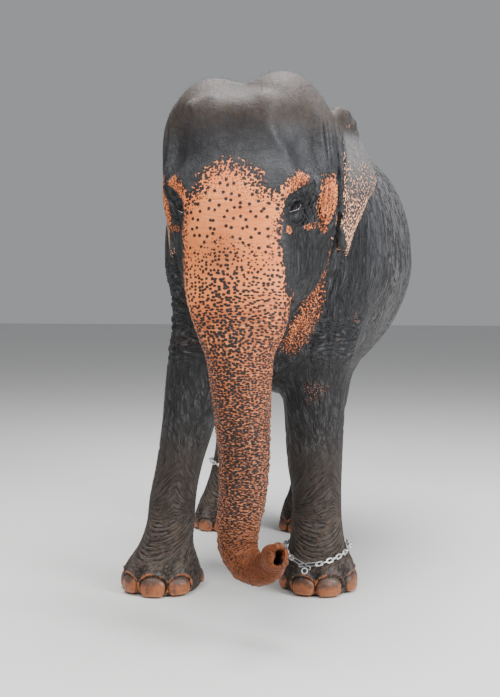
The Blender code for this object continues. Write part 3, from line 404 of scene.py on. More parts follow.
def shape_body(clay):
    """Trunk of the body, neck, chest and legs."""
    clay.add(barrel(TORSO))
    clay.add(ellipsoid((0.0, -0.62, 2.02), (0.36, 0.42, 0.36)), 0.10)
    clay.add(ellipsoid((-0.015, 0.70, 1.80), (0.50, 0.43, 0.55)), 0.10)
    for side in (-1, 1):  # shoulder, thigh and hip
        clay.add(ellipsoid((side * 0.335, -0.68, 1.70), (0.155, 0.30, 0.48), (12, side * 8, 0)), 0.14)
        clay.add(ellipsoid((side * 0.32, 0.62, 1.58), (0.24, 0.40, 0.50), (-14, side * 6, 0)), 0.14)
        clay.add(ellipsoid((side * 0.24, 0.86, 1.98), (0.20, 0.17, 0.18)), 0.14)
    # neck and chest
    clay.add(rod((0.0, -0.90, 1.93), head(0, -0.10, 1.98), 0.36, 0.33, (1, 0, 0), 1.10), 0.14)
    clay.add(rod((0.0, -0.86, 1.50), head(0, -0.08, 1.74), 0.30, 0.19, (1, 0, 0), 1.08), 0.14)
    clay.add(ellipsoid((-0.02, -0.80, 1.33), (0.30, 0.20, 0.24)), 0.12)
    for leg in LEGS.values():
        clay.add(column(leg), 0.12)
    clay.soften(0.018)


def shape_head(clay):
    """The skull with its two domes, the face, the brows, the hollows and the cheeks."""
    yaw = (0.0, 0.0, -math.degrees(HEAD_YAW))
    skull = clay.patch((-0.62, -1.85, 1.15), (0.62, -0.80, 2.74))
    skull.add(ellipsoid(head(0, -0.04, 2.10), (0.350, 0.34, 0.42), yaw))
    skull.add(ellipsoid(head(0.160, 0.00, 2.345), (0.215, 0.27, 0.265), yaw), 0.06)
    skull.add(ellipsoid(head(-0.170, 0.00, 2.325), (0.215, 0.27, 0.265), yaw), 0.06)
    mask = [(height, *head(0, forward, 0)[:2], wide, deep) for height, forward, wide, deep in MASK]
    skull.add(column(mask, 3.0, HEAD_YAW), 0.10)
    for side in (-1, 1):  # temple, brow, cheekbone, cheek and jaw's angle
        skull.add(ellipsoid(head(side * 0.31, -0.02, 2.20), (0.108, 0.23, 0.25), yaw), 0.08)
        skull.add(rod(head(side * 0.275, 0.25, 2.06), head(side * 0.30, 0.13, 2.035), 0.045, 0.045), 0.09)
        skull.add(ellipsoid(head(side * 0.343 + 0.009, 0.045, 1.985), (0.066, 0.095, 0.135), yaw), 0.06)
        skull.add(ellipsoid(head(side * 0.21, 0.00, 1.76), (0.135, 0.25, 0.24), yaw), 0.09)
        skull.add(ellipsoid(head(side * 0.22, -0.16, 1.92), (0.16, 0.22, 0.30), yaw), 0.10)
    for side in (-1, 1):  # ridge of the forehead, then the hollows of the temple and the eye
        ridge = [head(side * out + lean, forward, up) for out, forward, up, lean in RIDGE]
        skull.string(ridge, [RIDGE_WIDTH] * len(ridge), 0.045)
        skull.carve(ellipsoid(head(side * 0.342, 0.240, 2.270), (0.100, 0.130, 0.160), yaw), 0.07)
        skull.carve(ellipsoid(head(side * 0.272 - 0.020, 0.290, 2.335), (0.068, 0.080, 0.085), yaw), 0.06)
        skull.carve(ellipsoid(head(side * 0.345, 0.305, 1.950), (0.092, 0.118, 0.108), yaw), 0.05)
        below = head(side * 0.315, 0.270, 1.86), head(side * 0.290, 0.225, 1.52)
        skull.carve(rod(*below, 0.034, 0.040), 0.05)
    skull.soften(0.016)
    return skull


def shape_trunk(clay):
    trunk = clay.patch((-0.42, -2.06, 0.16), (0.42, -1.15, 2.35))
    length = np.linspace(TRUNK[0][0], TRUNK[-1][0], 90)
    x, y, z, wide, deep = eased(TRUNK, length)
    points = np.stack([x, y, z], axis=1)
    across = (math.cos(HEAD_YAW), -math.sin(HEAD_YAW), 0.0)
    for i in range(len(length) - 1):
        trunk.add(rod(points[i], points[i + 1], deep[i], deep[i + 1], across, wide[i] / deep[i]))
    return trunk


def shape_jaw(clay):
    for side in (-1, 1):
        clay.add(rod(head(side * 0.15, -0.06, 1.61), head(side * 0.06, 0.06, 1.49), 0.12, 0.09), 0.05)
    clay.add(rod(head(0, 0.04, 1.50), head(0, 0.105, 1.43), 0.095, 0.068), 0.05)
    clay.add(rod(head(0, 0.105, 1.43), head(0, 0.130, 1.365), 0.068, 0.040), 0.03)


def shape_ear(clay, side):
    """A thin leaf behind the cheek, hinged on the head, with its top edge rolled over."""
    c, s = math.cos(HEAD_YAW), math.sin(HEAD_YAW)
    half = EAR_THICK / 2

    def leaf(x, y, z):
        dx, dy = x - HEAD_PLACE[0], y - HEAD_PLACE[1]
        out, back = side * (dx * c - dy * s), EAR_HINGE + dx * s + dy * c
        front_edge, back_edge, hinge = (v.astype(np.float32) for v in eased(EAR, z))
        reach = back / math.cos(EAR_FLARE)
        cup = EAR_CUP * np.sin(np.clip(reach / 0.5, 0, 1) * math.pi)
        root = np.where(reach < 0, 3.0 * reach, 0.0)
        sheet = hinge + root + reach * math.sin(EAR_FLARE) + cup
        apart = np.abs(out - sheet) * math.cos(EAR_FLARE)
        outside = np.maximum(np.maximum(front_edge - reach, reach - back_edge),
                             np.maximum(EAR[0][0] - z, z - EAR[-1][0]))
        return np.hypot(apart, np.clip(outside + half, 0, None)) - half
    low = np.array(head(side * 0.45, -0.25, 2.1)) - (0.30, 0.45, 0.42)
    clay.add((low, low + (0.60, 0.90, 0.84), leaf))
    points = [ear_point(side, back, height) for back, height, _ in RIM]
    clay.string(points, [radius for *_, radius in RIM], 0.01)


def ear_point(side, back, height, out=0.012):
    """A point back from the ear's hinge, and out from its sheet."""
    out += eased(EAR, height)[2] + back * math.sin(EAR_FLARE)
    return head(side * out, EAR_HINGE - back * math.cos(EAR_FLARE), height)


def shape_tail(clay):
    *points, radius = eased(TAIL, np.linspace(TAIL[0][0], TAIL[-1][0], 16))
    clay.string(np.stack(points, axis=1), radius)


# ---------------------------------------------------------------- noise
def hashed(i, j, k, seed):
    """A number from 0 to 1 for each whole point of space."""
    h = (i.astype(np.int64) * 73856093) ^ (j.astype(np.int64) * 19349663) ^ (k.astype(np.int64) * 83492791)
    h = (h ^ (seed * 2654435761)) & 0xFFFFFFFF
    h = ((h ^ (h >> 15)) * 2246822519) & 0xFFFFFFFF
    h = ((h ^ (h >> 13)) * 3266489917) & 0xFFFFFFFF
    return ((h ^ (h >> 16)) & 0xFFFFFF).astype(np.float32) / 0xFFFFFF


def noise(p, seed=0):
    """Smooth noise from -1 to 1 at the points p, with features about one unit across."""
    base = np.floor(p)
    f = (p - base).astype(np.float32)
    f = f * f * (3 - 2 * f)
    i, j, k = base.astype(np.int64).T
    total = 0.0
    for a, b, c in product((0, 1), repeat=3):
        weight = np.abs(1 - a - f[:, 0]) * np.abs(1 - b - f[:, 1]) * np.abs(1 - c - f[:, 2])
        total = total + weight * hashed(i + a, j + b, k + c, seed)
    return 2 * total - 1


def cells(p, seed=0, jitter=0.9):
    """How far each point is from the border of its cell, 0 on the border, about 0.5 in the middle."""
    base = np.floor(p).astype(np.int64)
    near = np.full(len(p), FAR_OFF, np.float32)
    second = near.copy()
    for offset in product((-1, 0, 1), repeat=3):
        block = (base + offset).T
        spot = [v + 0.5 + jitter * (hashed(*block, seed + n) - 0.5) for n, v in enumerate(block)]
        d = np.sqrt(sum((p[:, n] - spot[n])**2 for n in range(3))).astype(np.float32)
        second = np.minimum(second, np.maximum(near, d))
        near = np.minimum(near, d)
    return second - near


def bump(x, low, high):
    """0 below low, 1 above high, smooth between."""
    t = np.clip((x - low) / (high - low), 0, 1)
    return t * t * (3 - 2 * t)


def plateau(x, low, high, fall, end):
    """0 below low, 1 from high to fall, 0 above end."""
    return bump(x, low, high) * (1 - bump(x, fall, end))


def bell(x, width):
    """1 where x is 0, and down to nothing at about twice the width."""
    return np.exp(-(x / width)**2)


# ---------------------------------------------------------------- the skin's mesh
def head_frame(p):
    """Points as side, forwards and height in the head's own frame."""
    c, s = math.cos(HEAD_YAW), math.sin(HEAD_YAW)
    dx, dy = p[:, 0] - HEAD_PLACE[0], p[:, 1] - HEAD_PLACE[1]
    return np.stack([dx * c - dy * s, -dx * s - dy * c, p[:, 2]], axis=1)


def trunk_frame(p):
    """For each point: the length along the trunk, its place across it, and how far off it is."""
    length = np.linspace(TRUNK[0][0], TRUNK[-1][0], 170)
    line = np.stack(eased(TRUNK, length)[:3], axis=1)
    way = np.gradient(line, axis=0)
    way /= np.linalg.norm(way, axis=1)[:, None]
    aside = [np.array((math.cos(HEAD_YAW), -math.sin(HEAD_YAW), 0.0))]
    for n in range(1, len(line)):
        turned = aside[-1] - way[n] * (aside[-1] @ way[n])
        aside.append(turned / np.linalg.norm(turned))
    near = np.zeros(len(p), int)
    apart = np.full(len(p), FAR_OFF, np.float32)
    for n in range(len(line)):
        gap = ((p - line[n])**2).sum(1)
        nearer = gap < apart
        apart[nearer], near[nearer] = gap[nearer], n
    aside, gap = np.array(aside), p - line[near]
    over = np.cross(aside, way)
    return (length[near] + (gap * way[near]).sum(1), (gap * aside[near]).sum(1),
            (gap * over[near]).sum(1), np.sqrt(apart))


def ear_frame(p):
    """For each point: how much it belongs to an ear, and how far in front of its hind edge it is."""
    h = head_frame(p)
    belongs, hem = np.zeros(len(p), np.float32), np.full(len(p), 1.0, np.float32)
    front = np.zeros(len(p), np.float32)
    for side in (-1, 1):
        near = np.flatnonzero((h[:, 0] * side > 0.30) & (p[:, 2] > 1.68) & (p[:, 2] < 2.50)
                              & (h[:, 1] < 0.02) & (h[:, 1] > -0.75))
        out, back, z = h[near, 0] * side, EAR_HINGE - h[near, 1], p[near, 2]
        front_edge, back_edge, hinge = eased(EAR, z)
        reach = back / math.cos(EAR_FLARE)
        sheet = (hinge + np.clip(reach, 0, None) * math.sin(EAR_FLARE)
                 + EAR_CUP * np.sin(np.clip(reach / 0.5, 0, 1) * math.pi))
        outside = np.maximum(np.maximum(front_edge - reach, reach - back_edge),
                             np.maximum(EAR[0][0] - z, z - EAR[-1][0]))
        belongs[near] = ((1 - bump(np.abs(out - sheet), 0.030, 0.055)) * (1 - bump(outside, 0.02, 0.05))
                         * bump(reach, -0.02, 0.04))
        hem[near] = back_edge - reach
        narrow = 1 - 0.55 * (1 - bump(z, 1.86, 2.02))
        front[near] = bump((reach - np.maximum(front_edge, 0.0)) / narrow, 0.040, 0.080)
    return belongs, hem, front


def make_field():
    """The whole animal in clay."""
    clay = Clay(FIELD_LOW, FIELD_HIGH, SKIN_CELL)
    shape_body(clay)
    clay.merge(shape_head(clay), 0.10)
    clay.merge(shape_trunk(clay), 0.07)
    shape_nostrils(clay)
    for side in (-1, 1):  # the brow over each eye
        brow = head(side * 0.246, 0.285, 2.012), head(side * 0.318, 0.185, 2.030)
        clay.add(rod(*brow, 0.019, 0.022), 0.030)
    jaw = clay.patch((-0.40, -1.66, 1.24), (0.36, -1.00, 1.88))
    shape_jaw(jaw)
    clay.merge(jaw, 0.014)
    for side in (-1, 1):
        middle = np.array(head(side * 0.42, -0.25, 2.1))
        ear = clay.patch(middle - (0.26, 0.44, 0.44), middle + (0.26, 0.44, 0.44))
        shape_ear(ear, side)
        clay.merge(ear, 0.018)
    shape_creases(clay)
    tail = clay.patch((-0.20, 0.86, 0.62), (0.18, 1.38, 2.24))
    shape_tail(tail)
    clay.merge(tail, 0.035)
    clay.field = np.maximum(clay.field, -clay.window(clay.low, clay.low + FAR_OFF)[1][2])
    return clay


def shape_nostrils(clay):
    """The hollow of the trunk's end, two openings in its floor, and the finger over it."""
    end, before = np.array(TRUNK[-1][1:4]), np.array(TRUNK[-2][1:4])
    way = (end - before) / np.linalg.norm(end - before)
    aside = np.cross(way, (0, 0, 1))
    aside /= np.linalg.norm(aside)
    above = np.cross(aside, way)
    clay.add(ellipsoid(end + way * 0.048 + above * 0.046, (0.022, 0.026, 0.017)), 0.03)
    clay.carve(rod(end + way * 0.085, end + way * 0.052, 0.036, 0.022, aside, 0.80), 0.012)
    for side in (-1, 1):
        pit = end + above * side * NOSTRIL - aside * side * 0.006
        clay.carve(rod(pit + way * 0.06, pit - way * 0.02, 0.0200, 0.013), 0.007)


def shape_creases(clay):
    """Deep folds that part the cheek from the neck and the ear from the head, and the ear's rolled edges."""
    for side in (-1, 1):
        line = []
        for height in np.linspace(2.37, 1.77, 9):
            front_edge, _, hinge = eased(EAR, height)
            forward = EAR_HINGE - max(0.0, float(front_edge)) * math.cos(EAR_FLARE)
            line.append((float(hinge), forward, height))
        for upper, lower in zip(line, line[1:]):
            gap = 0.014 if upper[2] < 1.93 else 0.030
            crease, edge = ([head(side * (out + 0.012), forward + shift, up)
                             for out, forward, up in (upper, lower)] for shift in (gap, -0.010))
            clay.carve(rod(*crease, 0.013, 0.013), 0.012)
            clay.add(rod(*edge, 0.014, 0.014), 0.014)
        flap = [ear_point(side, back, height, out) for back, height, out, _ in EAR_FLAP]
        clay.string(flap, [radius for *_, radius in EAR_FLAP], 0.022)
        cheek = [head(side * out, forward, up) for out, forward, up in CHEEK]
        clay.string(cheek, [0.020] * len(cheek), 0.035, -1)


def skin_mesh(clay):
    """The clay's surface as a mesh, finer on the face, the trunk, the ears and the feet."""
    grid = openvdb.FloatGrid()
    grid.background = FAR
    grid.copyFromArray(clay.field)
    points, triangles, quads = grid.convertToPolygons(isovalue=0.0, adaptivity=0.0)
    points = points * clay.cell + clay.low
    mesh = bpy.data.meshes.new("skin")
    sides = [tuple(f) for f in quads.tolist()] + [tuple(f) for f in triangles.tolist()]
    mesh.from_pydata(points.tolist(), [], sides)
    work = bmesh.new()
    work.from_mesh(mesh)
    keep_largest(work)
    for level in range(2):
        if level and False:
            break
        middles = np.array([f.calc_center_median() for f in work.faces], np.float32)
        wanted = fine_zone(middles, level)
        faces = [f for f, w in zip(work.faces, wanted) if w]
        edges = list({e for f in faces for e in f.edges})
        bmesh.ops.subdivide_edges(work, edges=edges, cuts=1, use_grid_fill=True)
    bmesh.ops.triangulate(work, faces=[f for f in work.faces if len(f.verts) > 4])
    work.to_mesh(mesh)
    work.free()
    return mesh


def keep_largest(work):
    """Delete all but the largest of the mesh's loose bodies."""
    seen, bodies = set(), []
    work.verts.ensure_lookup_table()
    for start in work.verts:
        if start.index in seen:
            continue
        body, edge = [], [start]
        seen.add(start.index)
        while edge:
            vert = edge.pop()
            body.append(vert)
            for link in vert.link_edges:
                other = link.other_vert(vert)
                if other.index not in seen:
                    seen.add(other.index)
                    edge.append(other)
        bodies.append(body)
    bodies.sort(key=len)
    spare = [v for body in bodies[:-1] for v in body]
    if spare:
        bmesh.ops.delete(work, geom=spare, context="VERTS")


def fine_zone(p, level):
    """Where the skin is halved once, and where twice."""
    h = head_frame(p)
    if level == 0:
        face = (h[:, 1] > -0.16) & (p[:, 2] > 1.30)
        trunk = (p[:, 1] < -1.38) & (p[:, 2] < 1.60)
        ears = ear_frame(p)[0] > 0.2
        legs = p[:, 2] < 0.50
        return face | trunk | ears | legs
    eye = np.zeros(len(p), bool)
    for side in (-1, 1):
        eye |= ((h - (side * 0.275, 0.215, 1.955))**2).sum(1) < 0.085**2
    return eye


def mixed(pair, share):
    """The first of a pair where share is 0, the second where it is 1."""
    return pair[0] * (1 - share) + pair[1] * share


def settle_on(mesh, clay):
    """Move each point on to the clay's surface, which rounds the halved faces."""
    co = read(mesh.vertices, "co", 3)
    for _ in range(2):
        place = (co - clay.low) / clay.cell
        base = np.clip(np.floor(place).astype(int), 0, np.array(clay.field.shape) - 2)
        u, v, w = (place - base).astype(np.float32).T
        corner = np.array([[[clay.field[tuple((base + (a, b, c)).T)] for c in (0, 1)] for b in (0, 1)]
                           for a in (0, 1)])
        edge = mixed(corner, u)
        face = mixed(edge, v)
        value = mixed(face, w)
        slope = (mixed(mixed(corner[1] - corner[0], v), w), mixed(edge[1] - edge[0], w), face[1] - face[0])
        g = np.stack(slope, axis=1) / clay.cell
        step = np.clip(value / np.maximum((g**2).sum(1), 0.2), -0.004, 0.004)
        co = co - g * step[:, None]
    write(mesh.vertices, "co", co)
    return co


def read(items, name, width=1):
    """One value of every item of a mesh, as an array."""
    out = np.empty(len(items) * width, np.float32)
    items.foreach_get(name, out)
    return out.reshape(-1, width) if width > 1 else out


def write(items, name, values):
    items.foreach_set(name, np.ascontiguousarray(values, np.float32).ravel())


# ---------------------------------------------------------------- folds, wrinkles and lids
def grooves(p, sizes, seed, sharp, drift=0.35, reach=0.08):
    """0 along the borders of cells of the given sizes, 1 inside them."""
    q = p / np.array(sizes, np.float32)
    q = q + (drift * noise(p / reach, seed + 5))[:, None]
    return bump(cells(q, seed), 0.0, sharp)


def leg_frames(p):
    """For each leg: how much each point belongs to it, and its angle round it."""
    out = {}
    for name, leg in LEGS.items():
        cx, cy, wide, deep = eased(leg, p[:, 2])
        u, v = p[:, 0] - cx, p[:, 1] - cy
        reach = np.sqrt((u / wide)**2 + (v / deep)**2)
        belongs = (1 - bump(reach, 1.25, 1.60)) * (1 - bump(p[:, 2], 1.05, 1.35))
        out[name] = (belongs.astype(np.float32), np.arctan2(u, -v))
    return out


def mesh_attrs(mesh, **fields):
    """Write fields on the points of a mesh, for its material."""
    for name, values in fields.items():
        wide = values.ndim > 1
        attr = mesh.attributes.new(name, "FLOAT_VECTOR" if wide else "FLOAT", "POINT")
        write(attr.data, "vector" if wide else "value", values)


def around_head(h):
    """How far round the head a point is: to the side, and on backwards where the face turns."""
    return h[:, 0] + np.sign(h[:, 0]) * np.clip(TURN_BACK - h[:, 1], 0, None)


def cheek_folds(about, z, wander=0.0):
    """1 along the pleats of the swelling behind each eye, which gather downwards."""
    gather = 0.25 + 0.75 * bump(z, 1.84, 1.96)
    return sum(bell(about - 0.63 - (place - 0.63) * gather - 0.15 * (z - 1.98) - wander, 0.0085)
               for place in CHEEK_FOLDS)


def trunk_rings(q, length):
    """How far the rings of the trunk lift the skin."""
    strength = bump(length, 0.55, 1.15) * (1 - 0.5 * bump(length, 1.72, 1.86))
    ring = grooves(q, (0.10, 0.10, 0.0205), 11, 0.42, 0.30, 0.06)
    deep = grooves(q, (0.22, 0.22, 0.052), 17, 0.25, 0.30, 0.10)
    return (0.0046 * (ring - 0.6) + 0.0030 * (deep - 0.7)) * (0.25 + 0.85 * strength)


def leg_folds(name, q, t):
    """Folds that hang over the ankle and creases that slant down, and where the fine ones run."""
    up, fore = q[:, 2], name.startswith("fore")
    centre = -0.30 if name == "fore_right" else 0.10
    high = bump(up, 0.36, 0.52)
    chevron = np.abs(t - centre - 0.55) * 0.16
    sag = 0.150 * (1 - np.cos(np.clip(t - centre, -1.6, 1.6)))
    across = up + chevron * high - sag * (1 - high) + 0.010 * noise(q / 0.12, 21)
    line = across / 0.0235 + 0.30 * noise(q / (0.09, 0.09, 0.09), 23)
    fold = np.abs((line % 1.0) - 0.5) * 2
    band = plateau(up, 0.15, 0.19, 0.34, 0.56) * (0.40 + 0.60 * np.cos(t / 2)**2)
    band *= 0.55 + 0.45 * bump(noise(q / (0.10, 0.10, 0.04), 27), -0.4, 0.4)
    lift = 0.0070 * (bump(fold, 0.0, 0.5) - 0.65) * band * (1.0 if fore else 0.8)
    lean = -0.30 if name.endswith("right") else 0.22
    slant = np.stack([(q[:, 0] + lean * up) / 0.050, q[:, 1] / 0.060, up / 0.20], axis=1)
    slant += (0.8 * noise(q / 0.20, 29))[:, None]
    lift += 0.0036 * (bump(cells(slant, 31), 0.0, 0.20) - 0.8) * bump(up, 0.60, 0.75)
    small = grooves(q, (0.036, 0.036, 0.017), 37, 0.3)
    lift += 0.0022 * (small - 0.7) * plateau(up, 0.03, 0.06, 0.17, 0.25)
    return lift, np.stack([t * 0.16, across, 0 * t + (not fore)], axis=1)


def toe_folds(name, t, up):
    """Toes that swell round their nails, with grooves between them, and the rim round each nail."""
    toe_out, angles = NAILS[name]
    size = 1.0 if name.startswith("fore") else HIND_NAILS
    _, _, wide, deep = eased(LEGS[name], NAIL_HEIGHT)
    toe = np.zeros(len(t), np.float32)
    ring, between = np.full((2, len(t)), FAR_OFF, np.float32)

    def away(angle):
        return (t - math.radians(angle + toe_out) + math.pi) % (2 * math.pi) - math.pi
    for one, two in zip(angles, angles[1:]):
        bend = 0.10 * np.sin(up * 30) * (1 if one < 0 else -1)
        between = np.minimum(between, np.abs(away((one + two) / 2) + bend))
    for place in angles:
        middle = (1.0 - NAIL_CURVE * abs(place) / 80.0) * size
        gap = away(place)
        toe = np.maximum(toe, bell(gap, 0.27 * middle))
        ring = np.minimum(ring, np.hypot(gap * (wide + deep) / 2 / (NAIL_SIZE[0] * middle),
                                         (up - NAIL_HEIGHT * size) / (NAIL_SIZE[2] * middle)))
    front = bump(np.cos(t - math.radians(toe_out)), -0.3, 0.2)
    lift = -0.0075 * bell(between, 0.035) * front * plateau(up, 0.02, 0.05, 0.115, 0.175)
    lift += (0.015 * toe - 0.010) * front * plateau(up, 0.00, 0.05, 0.115, 0.19)
    lift += (0.0075 * bell(ring - 1.27, 0.13) - 0.008 * bell(ring - 1.02, 0.11)) * front
    return lift, bell(ring - 1.22, 0.17) * front


def body_folds(q):
    """Folds of the neck, chest and flank that run down, and level crinkles at shoulder and elbow."""
    x, y, z = q.T
    drift = noise(q / 0.35, 41) * 0.8
    neck = 1 - bump(y, -0.98, -0.62)
    run = np.stack([x / 0.085 + drift, y / 0.046 + drift, z / 0.30], axis=1)
    lift = (0.0026 + 0.0062 * neck) * (bump(cells(run, 43), 0.0, 0.26) - 0.8)
    lift += 0.006 * noise(q / (0.16, 0.13, 0.45), 47)
    crook = plateau(z, 1.12, 1.25, 1.62, 1.84) * (1 - bump(y, -0.86, -0.55))
    crook *= np.where(x < 0, bump(-x, 0.24, 0.36), bump(x, 0.16, 0.30) * (1 - bump(z, 1.38, 1.50)))
    level = q.copy()
    level[:, 2] -= 0.35 * np.abs(x)
    lift += crook * 0.0115 * (grooves(level, (0.16, 0.10, 0.036), 91, 0.40) - 0.65)
    return lift, crook


def face_folds(q):
    """Fine arcs over the nose and creases down the cheeks, and the shares of both."""
    cheek = bump(np.abs(q[:, 0]), 0.22, 0.29) * (1 - bump(q[:, 2], 2.05, 2.20))
    nose = (1 - cheek) * (1 - bump(q[:, 2], 1.98, 2.12))
    arc = (q[:, 2] + 0.30 * q[:, 0]**2) / 0.034 + 0.5 * noise(q / 0.07, 53)
    lift = 0.0012 * (bump(np.abs((arc % 1.0) - 0.5) * 2, 0.0, 0.5) - 0.7) * nose
    down = np.stack([q[:, 0] / 0.06, q[:, 1] / 0.026 + noise(q / 0.1, 57), q[:, 2] / 0.11], axis=1)
    lift += 0.0040 * (bump(cells(down, 59), 0.0, 0.25) - 0.75) * cheek
    return lift, nose, cheek


def temple_folds(p, h, about, rise, ear):
    """The pleats behind the eyes, and the folds in front of the ears."""
    z = p[:, 2]
    some = np.flatnonzero((about > 0.48) & (about < 0.80) & (z > 1.80) & (z < 2.14) & (h[:, 1] > -0.06))
    q, up = p[some], z[some]
    lift = 0.0025 - 0.0075 * cheek_folds(about[some], up, 0.004 * noise(q / 0.03, 97))
    rise[some] += lift * plateau(up, 1.83, 1.88, 2.05, 2.11)
    some = np.flatnonzero((about > 0.55) & (about < 0.95) & (z > 2.00) & (z < 2.42) & (h[:, 1] > -0.20))
    q, up = p[some], z[some]
    line = about[some] - 0.16 * (2.2 - up) - 0.010 * noise(q / (0.04, 0.04, 0.09), 103)
    lift = 0.0020 - 0.0070 * sum(bell(line - place, 0.0090) for place in EAR_FOLDS)
    rise[some] += lift * plateau(up, 2.03, 2.10, 2.32, 2.40) * (1 - ear[some])


def build_skin():
    """The skin with its folds, its lids and the fields that its material reads."""
    clay = make_field()
    mesh = skin_mesh(clay)
    p = settle_on(mesh, clay)
    mesh.update()
    n = read(mesh.vertices, "normal", 3)
    h = head_frame(p)
    y, z = p[:, 1], p[:, 2]
    rise, trunk, legs, arcs, crinkled, cuticle = np.zeros((6, len(p)), np.float32)
    crease = np.zeros((len(p), 3), np.float32)
    length = np.full(len(p), -1.0, np.float32)

    # what each point belongs to, and the skin laid out straight along the trunk
    near = np.flatnonzero((y < -1.33) & (z < 1.90))
    along, a, b, apart = trunk_frame(p[near])
    length[near] = along
    trunk[near] = bump(along, 0.42, 0.66) * bump(-y[near], 1.36, 1.44) * (apart < 0.30)
    flow = p.copy()
    straight = np.stack([a - 0.02, b - 1.6, 2.01 - along], axis=1)
    flow[near] += trunk[near, None] * (straight - p[near])
    ear, hem, ear_open = ear_frame(p)
    frames = leg_frames(p)
    for belongs, _ in frames.values():
        legs = np.maximum(legs, belongs)
    legs *= 1 - trunk
    face = bump(h[:, 1], -0.20, -0.02) * bump(z, 1.34, 1.46) * (1 - trunk) * (1 - ear)
    body = np.clip(1 - legs - face - trunk - ear, 0, 1) * bump(-h[:, 1], 0.02, 0.16)

    # the skin laid out flat: round the head or the trunk, then up
    around = around_head(h)
    flat = np.stack([around, flow[:, 2], np.zeros(len(p))], axis=1)
    turn = np.arctan2(a, -b) * np.interp(along, [0.0, 0.6, 1.2, 1.9, 2.2], [0.20, 0.17, 0.125, 0.10, 0.08])
    flat[near, 0] += trunk[near] * (turn - flat[near, 0])

    some = np.flatnonzero(trunk > 0)
    rise[some] += trunk[some] * trunk_rings(flow[some], length[some])
    for name, (belongs, angle) in frames.items():
        some = np.flatnonzero(belongs > 0.01)
        w = belongs[some]
        lift, crease[some] = leg_folds(name, p[some], angle[some])
        swell, rim = toe_folds(name, angle[some], z[some])
        rise[some] += (lift + swell) * w
        cuticle[some] = rim * w
    some = np.flatnonzero(body > 0.01)
    lift, crook = body_folds(p[some])
    rise[some] += body[some] * lift
    crinkled[some] = crook * body[some]
    some = np.flatnonzero(face > 0.01)
    lift, nose, cheek = face_folds(h[some])
    rise[some] += lift * face[some]
    arcs[some] = nose * face[some]
    body[some] += cheek * face[some]
    temple_folds(p, h, np.abs(around), rise, ear)

    fold = np.clip(rise / 0.006, -1, 1)
    p = p + n * rise[:, None]
    p, socket = shape_lids(p)
    p[:, 2] = np.where(p[:, 2] < 0.006, np.clip(p[:, 2], 0.0, None), p[:, 2])
    write(mesh.vertices, "co", p - SHIFT)
    mesh.polygons.foreach_set("use_smooth", np.ones(len(mesh.polygons), bool))
    mesh_attrs(mesh, trunk=trunk, legs=legs, arcs=arcs * (1 - socket), fold=fold, flow=flow,
               body=body * (1 - socket) * (1 - crinkled), crinkled=crinkled, cuticle=cuticle,
               flat=flat, crease=crease)
    colour_fields(mesh, p, h, flat, length, trunk, ear, hem, ear_open, legs)
    mesh.update()
    return placed("skin", mesh)


def eye_axes(side):
    """The way an eye looks, and the level way forwards across it, in the head's frame."""
    out = np.array((side * 1.0, EYE_TURN, 0.0))
    out /= np.linalg.norm(out)
    ahead = np.array((-out[1], out[0], 0.0))
    return out, ahead * np.sign(ahead[1])


def shape_lids(p):
    """Lids that nearly close over the eyeball, folds above them, and a bag and creases below."""
    h = head_frame(p)
    c, s = math.cos(HEAD_YAW), math.sin(HEAD_YAW)
    socket = np.zeros(len(p), np.float32)
    for side in (-1, 1):
        out, ahead = eye_axes(side)
        gap = h - np.array((side * EYE_PLACE[0], *EYE_PLACE[1:]))
        w, u0, v0 = gap @ out, gap @ ahead, gap[:, 2]
        u = u0 * math.cos(LID_TILT) + v0 * math.sin(LID_TILT)
        v = -u0 * math.sin(LID_TILT) + v0 * math.cos(LID_TILT)
        r = np.hypot(u, v)
        near = (r < 0.110) & (w > -0.07) & (w < 0.10)
        deep = 1 - bump(np.hypot((u - 0.005) / 1.25, v + 0.012), 0.030, 0.075)
        socket[near] = np.maximum(socket[near], deep[near])
        u, v, r, w = u[near], v[near], r[near], w[near]
        ball = np.sqrt(np.clip((EYE_RADIUS + LID_THICK)**2 - r**2, 0, None))
        dome = np.where(r < EYE_RADIUS + 0.003, ball, 0.0)
        lids = w + (np.maximum(dome, 0.004) - w) * (1 - bump(r, 0.018, 0.050))
        out_u = np.abs(u)
        rim = np.abs(v) - LID_GAP * np.clip(1 - (u / LID_REACH)**2, 0, None)
        inside = (1 - bump(rim, -0.0015, 0.0020)) * (out_u < LID_REACH)
        lids += 0.0030 * bell(rim - 0.004, 0.0030) * (1 - bump(out_u, 0.036, 0.046))
        lids -= 0.0050 * bell(v, 0.004) * plateau(out_u, 0.036, 0.046, 0.056, 0.070)
        wide = 1.3 * (1 - bump(out_u, 0.038, 0.068))
        for place, size, width in LID_FOLDS:
            bend = 8.0 * (1 - place / 0.09) if place > 0 else -7.0
            lids += size * bell(v - place + bend * u**2, width) * wide
        lids += 0.0110 * np.exp(-((u + 0.002) / 0.034)**2 - ((v + 0.031) / 0.021)**2)  # the bag
        rim = np.hypot((u + 0.002) / 1.05, v + 0.033)
        lids -= 0.0075 * bell(rim - 0.050, 0.0055) * bump(-u, -0.015, 0.020)  # the crease behind it
        lids = lids * (1 - inside) - 0.012 * inside
        change = (lids - w)[:, None] * out[None, :]
        p[near] += np.stack([change[:, 0] * c - change[:, 1] * s, -change[:, 0] * s - change[:, 1] * c,
                             change[:, 2]], axis=1)
    return p, socket


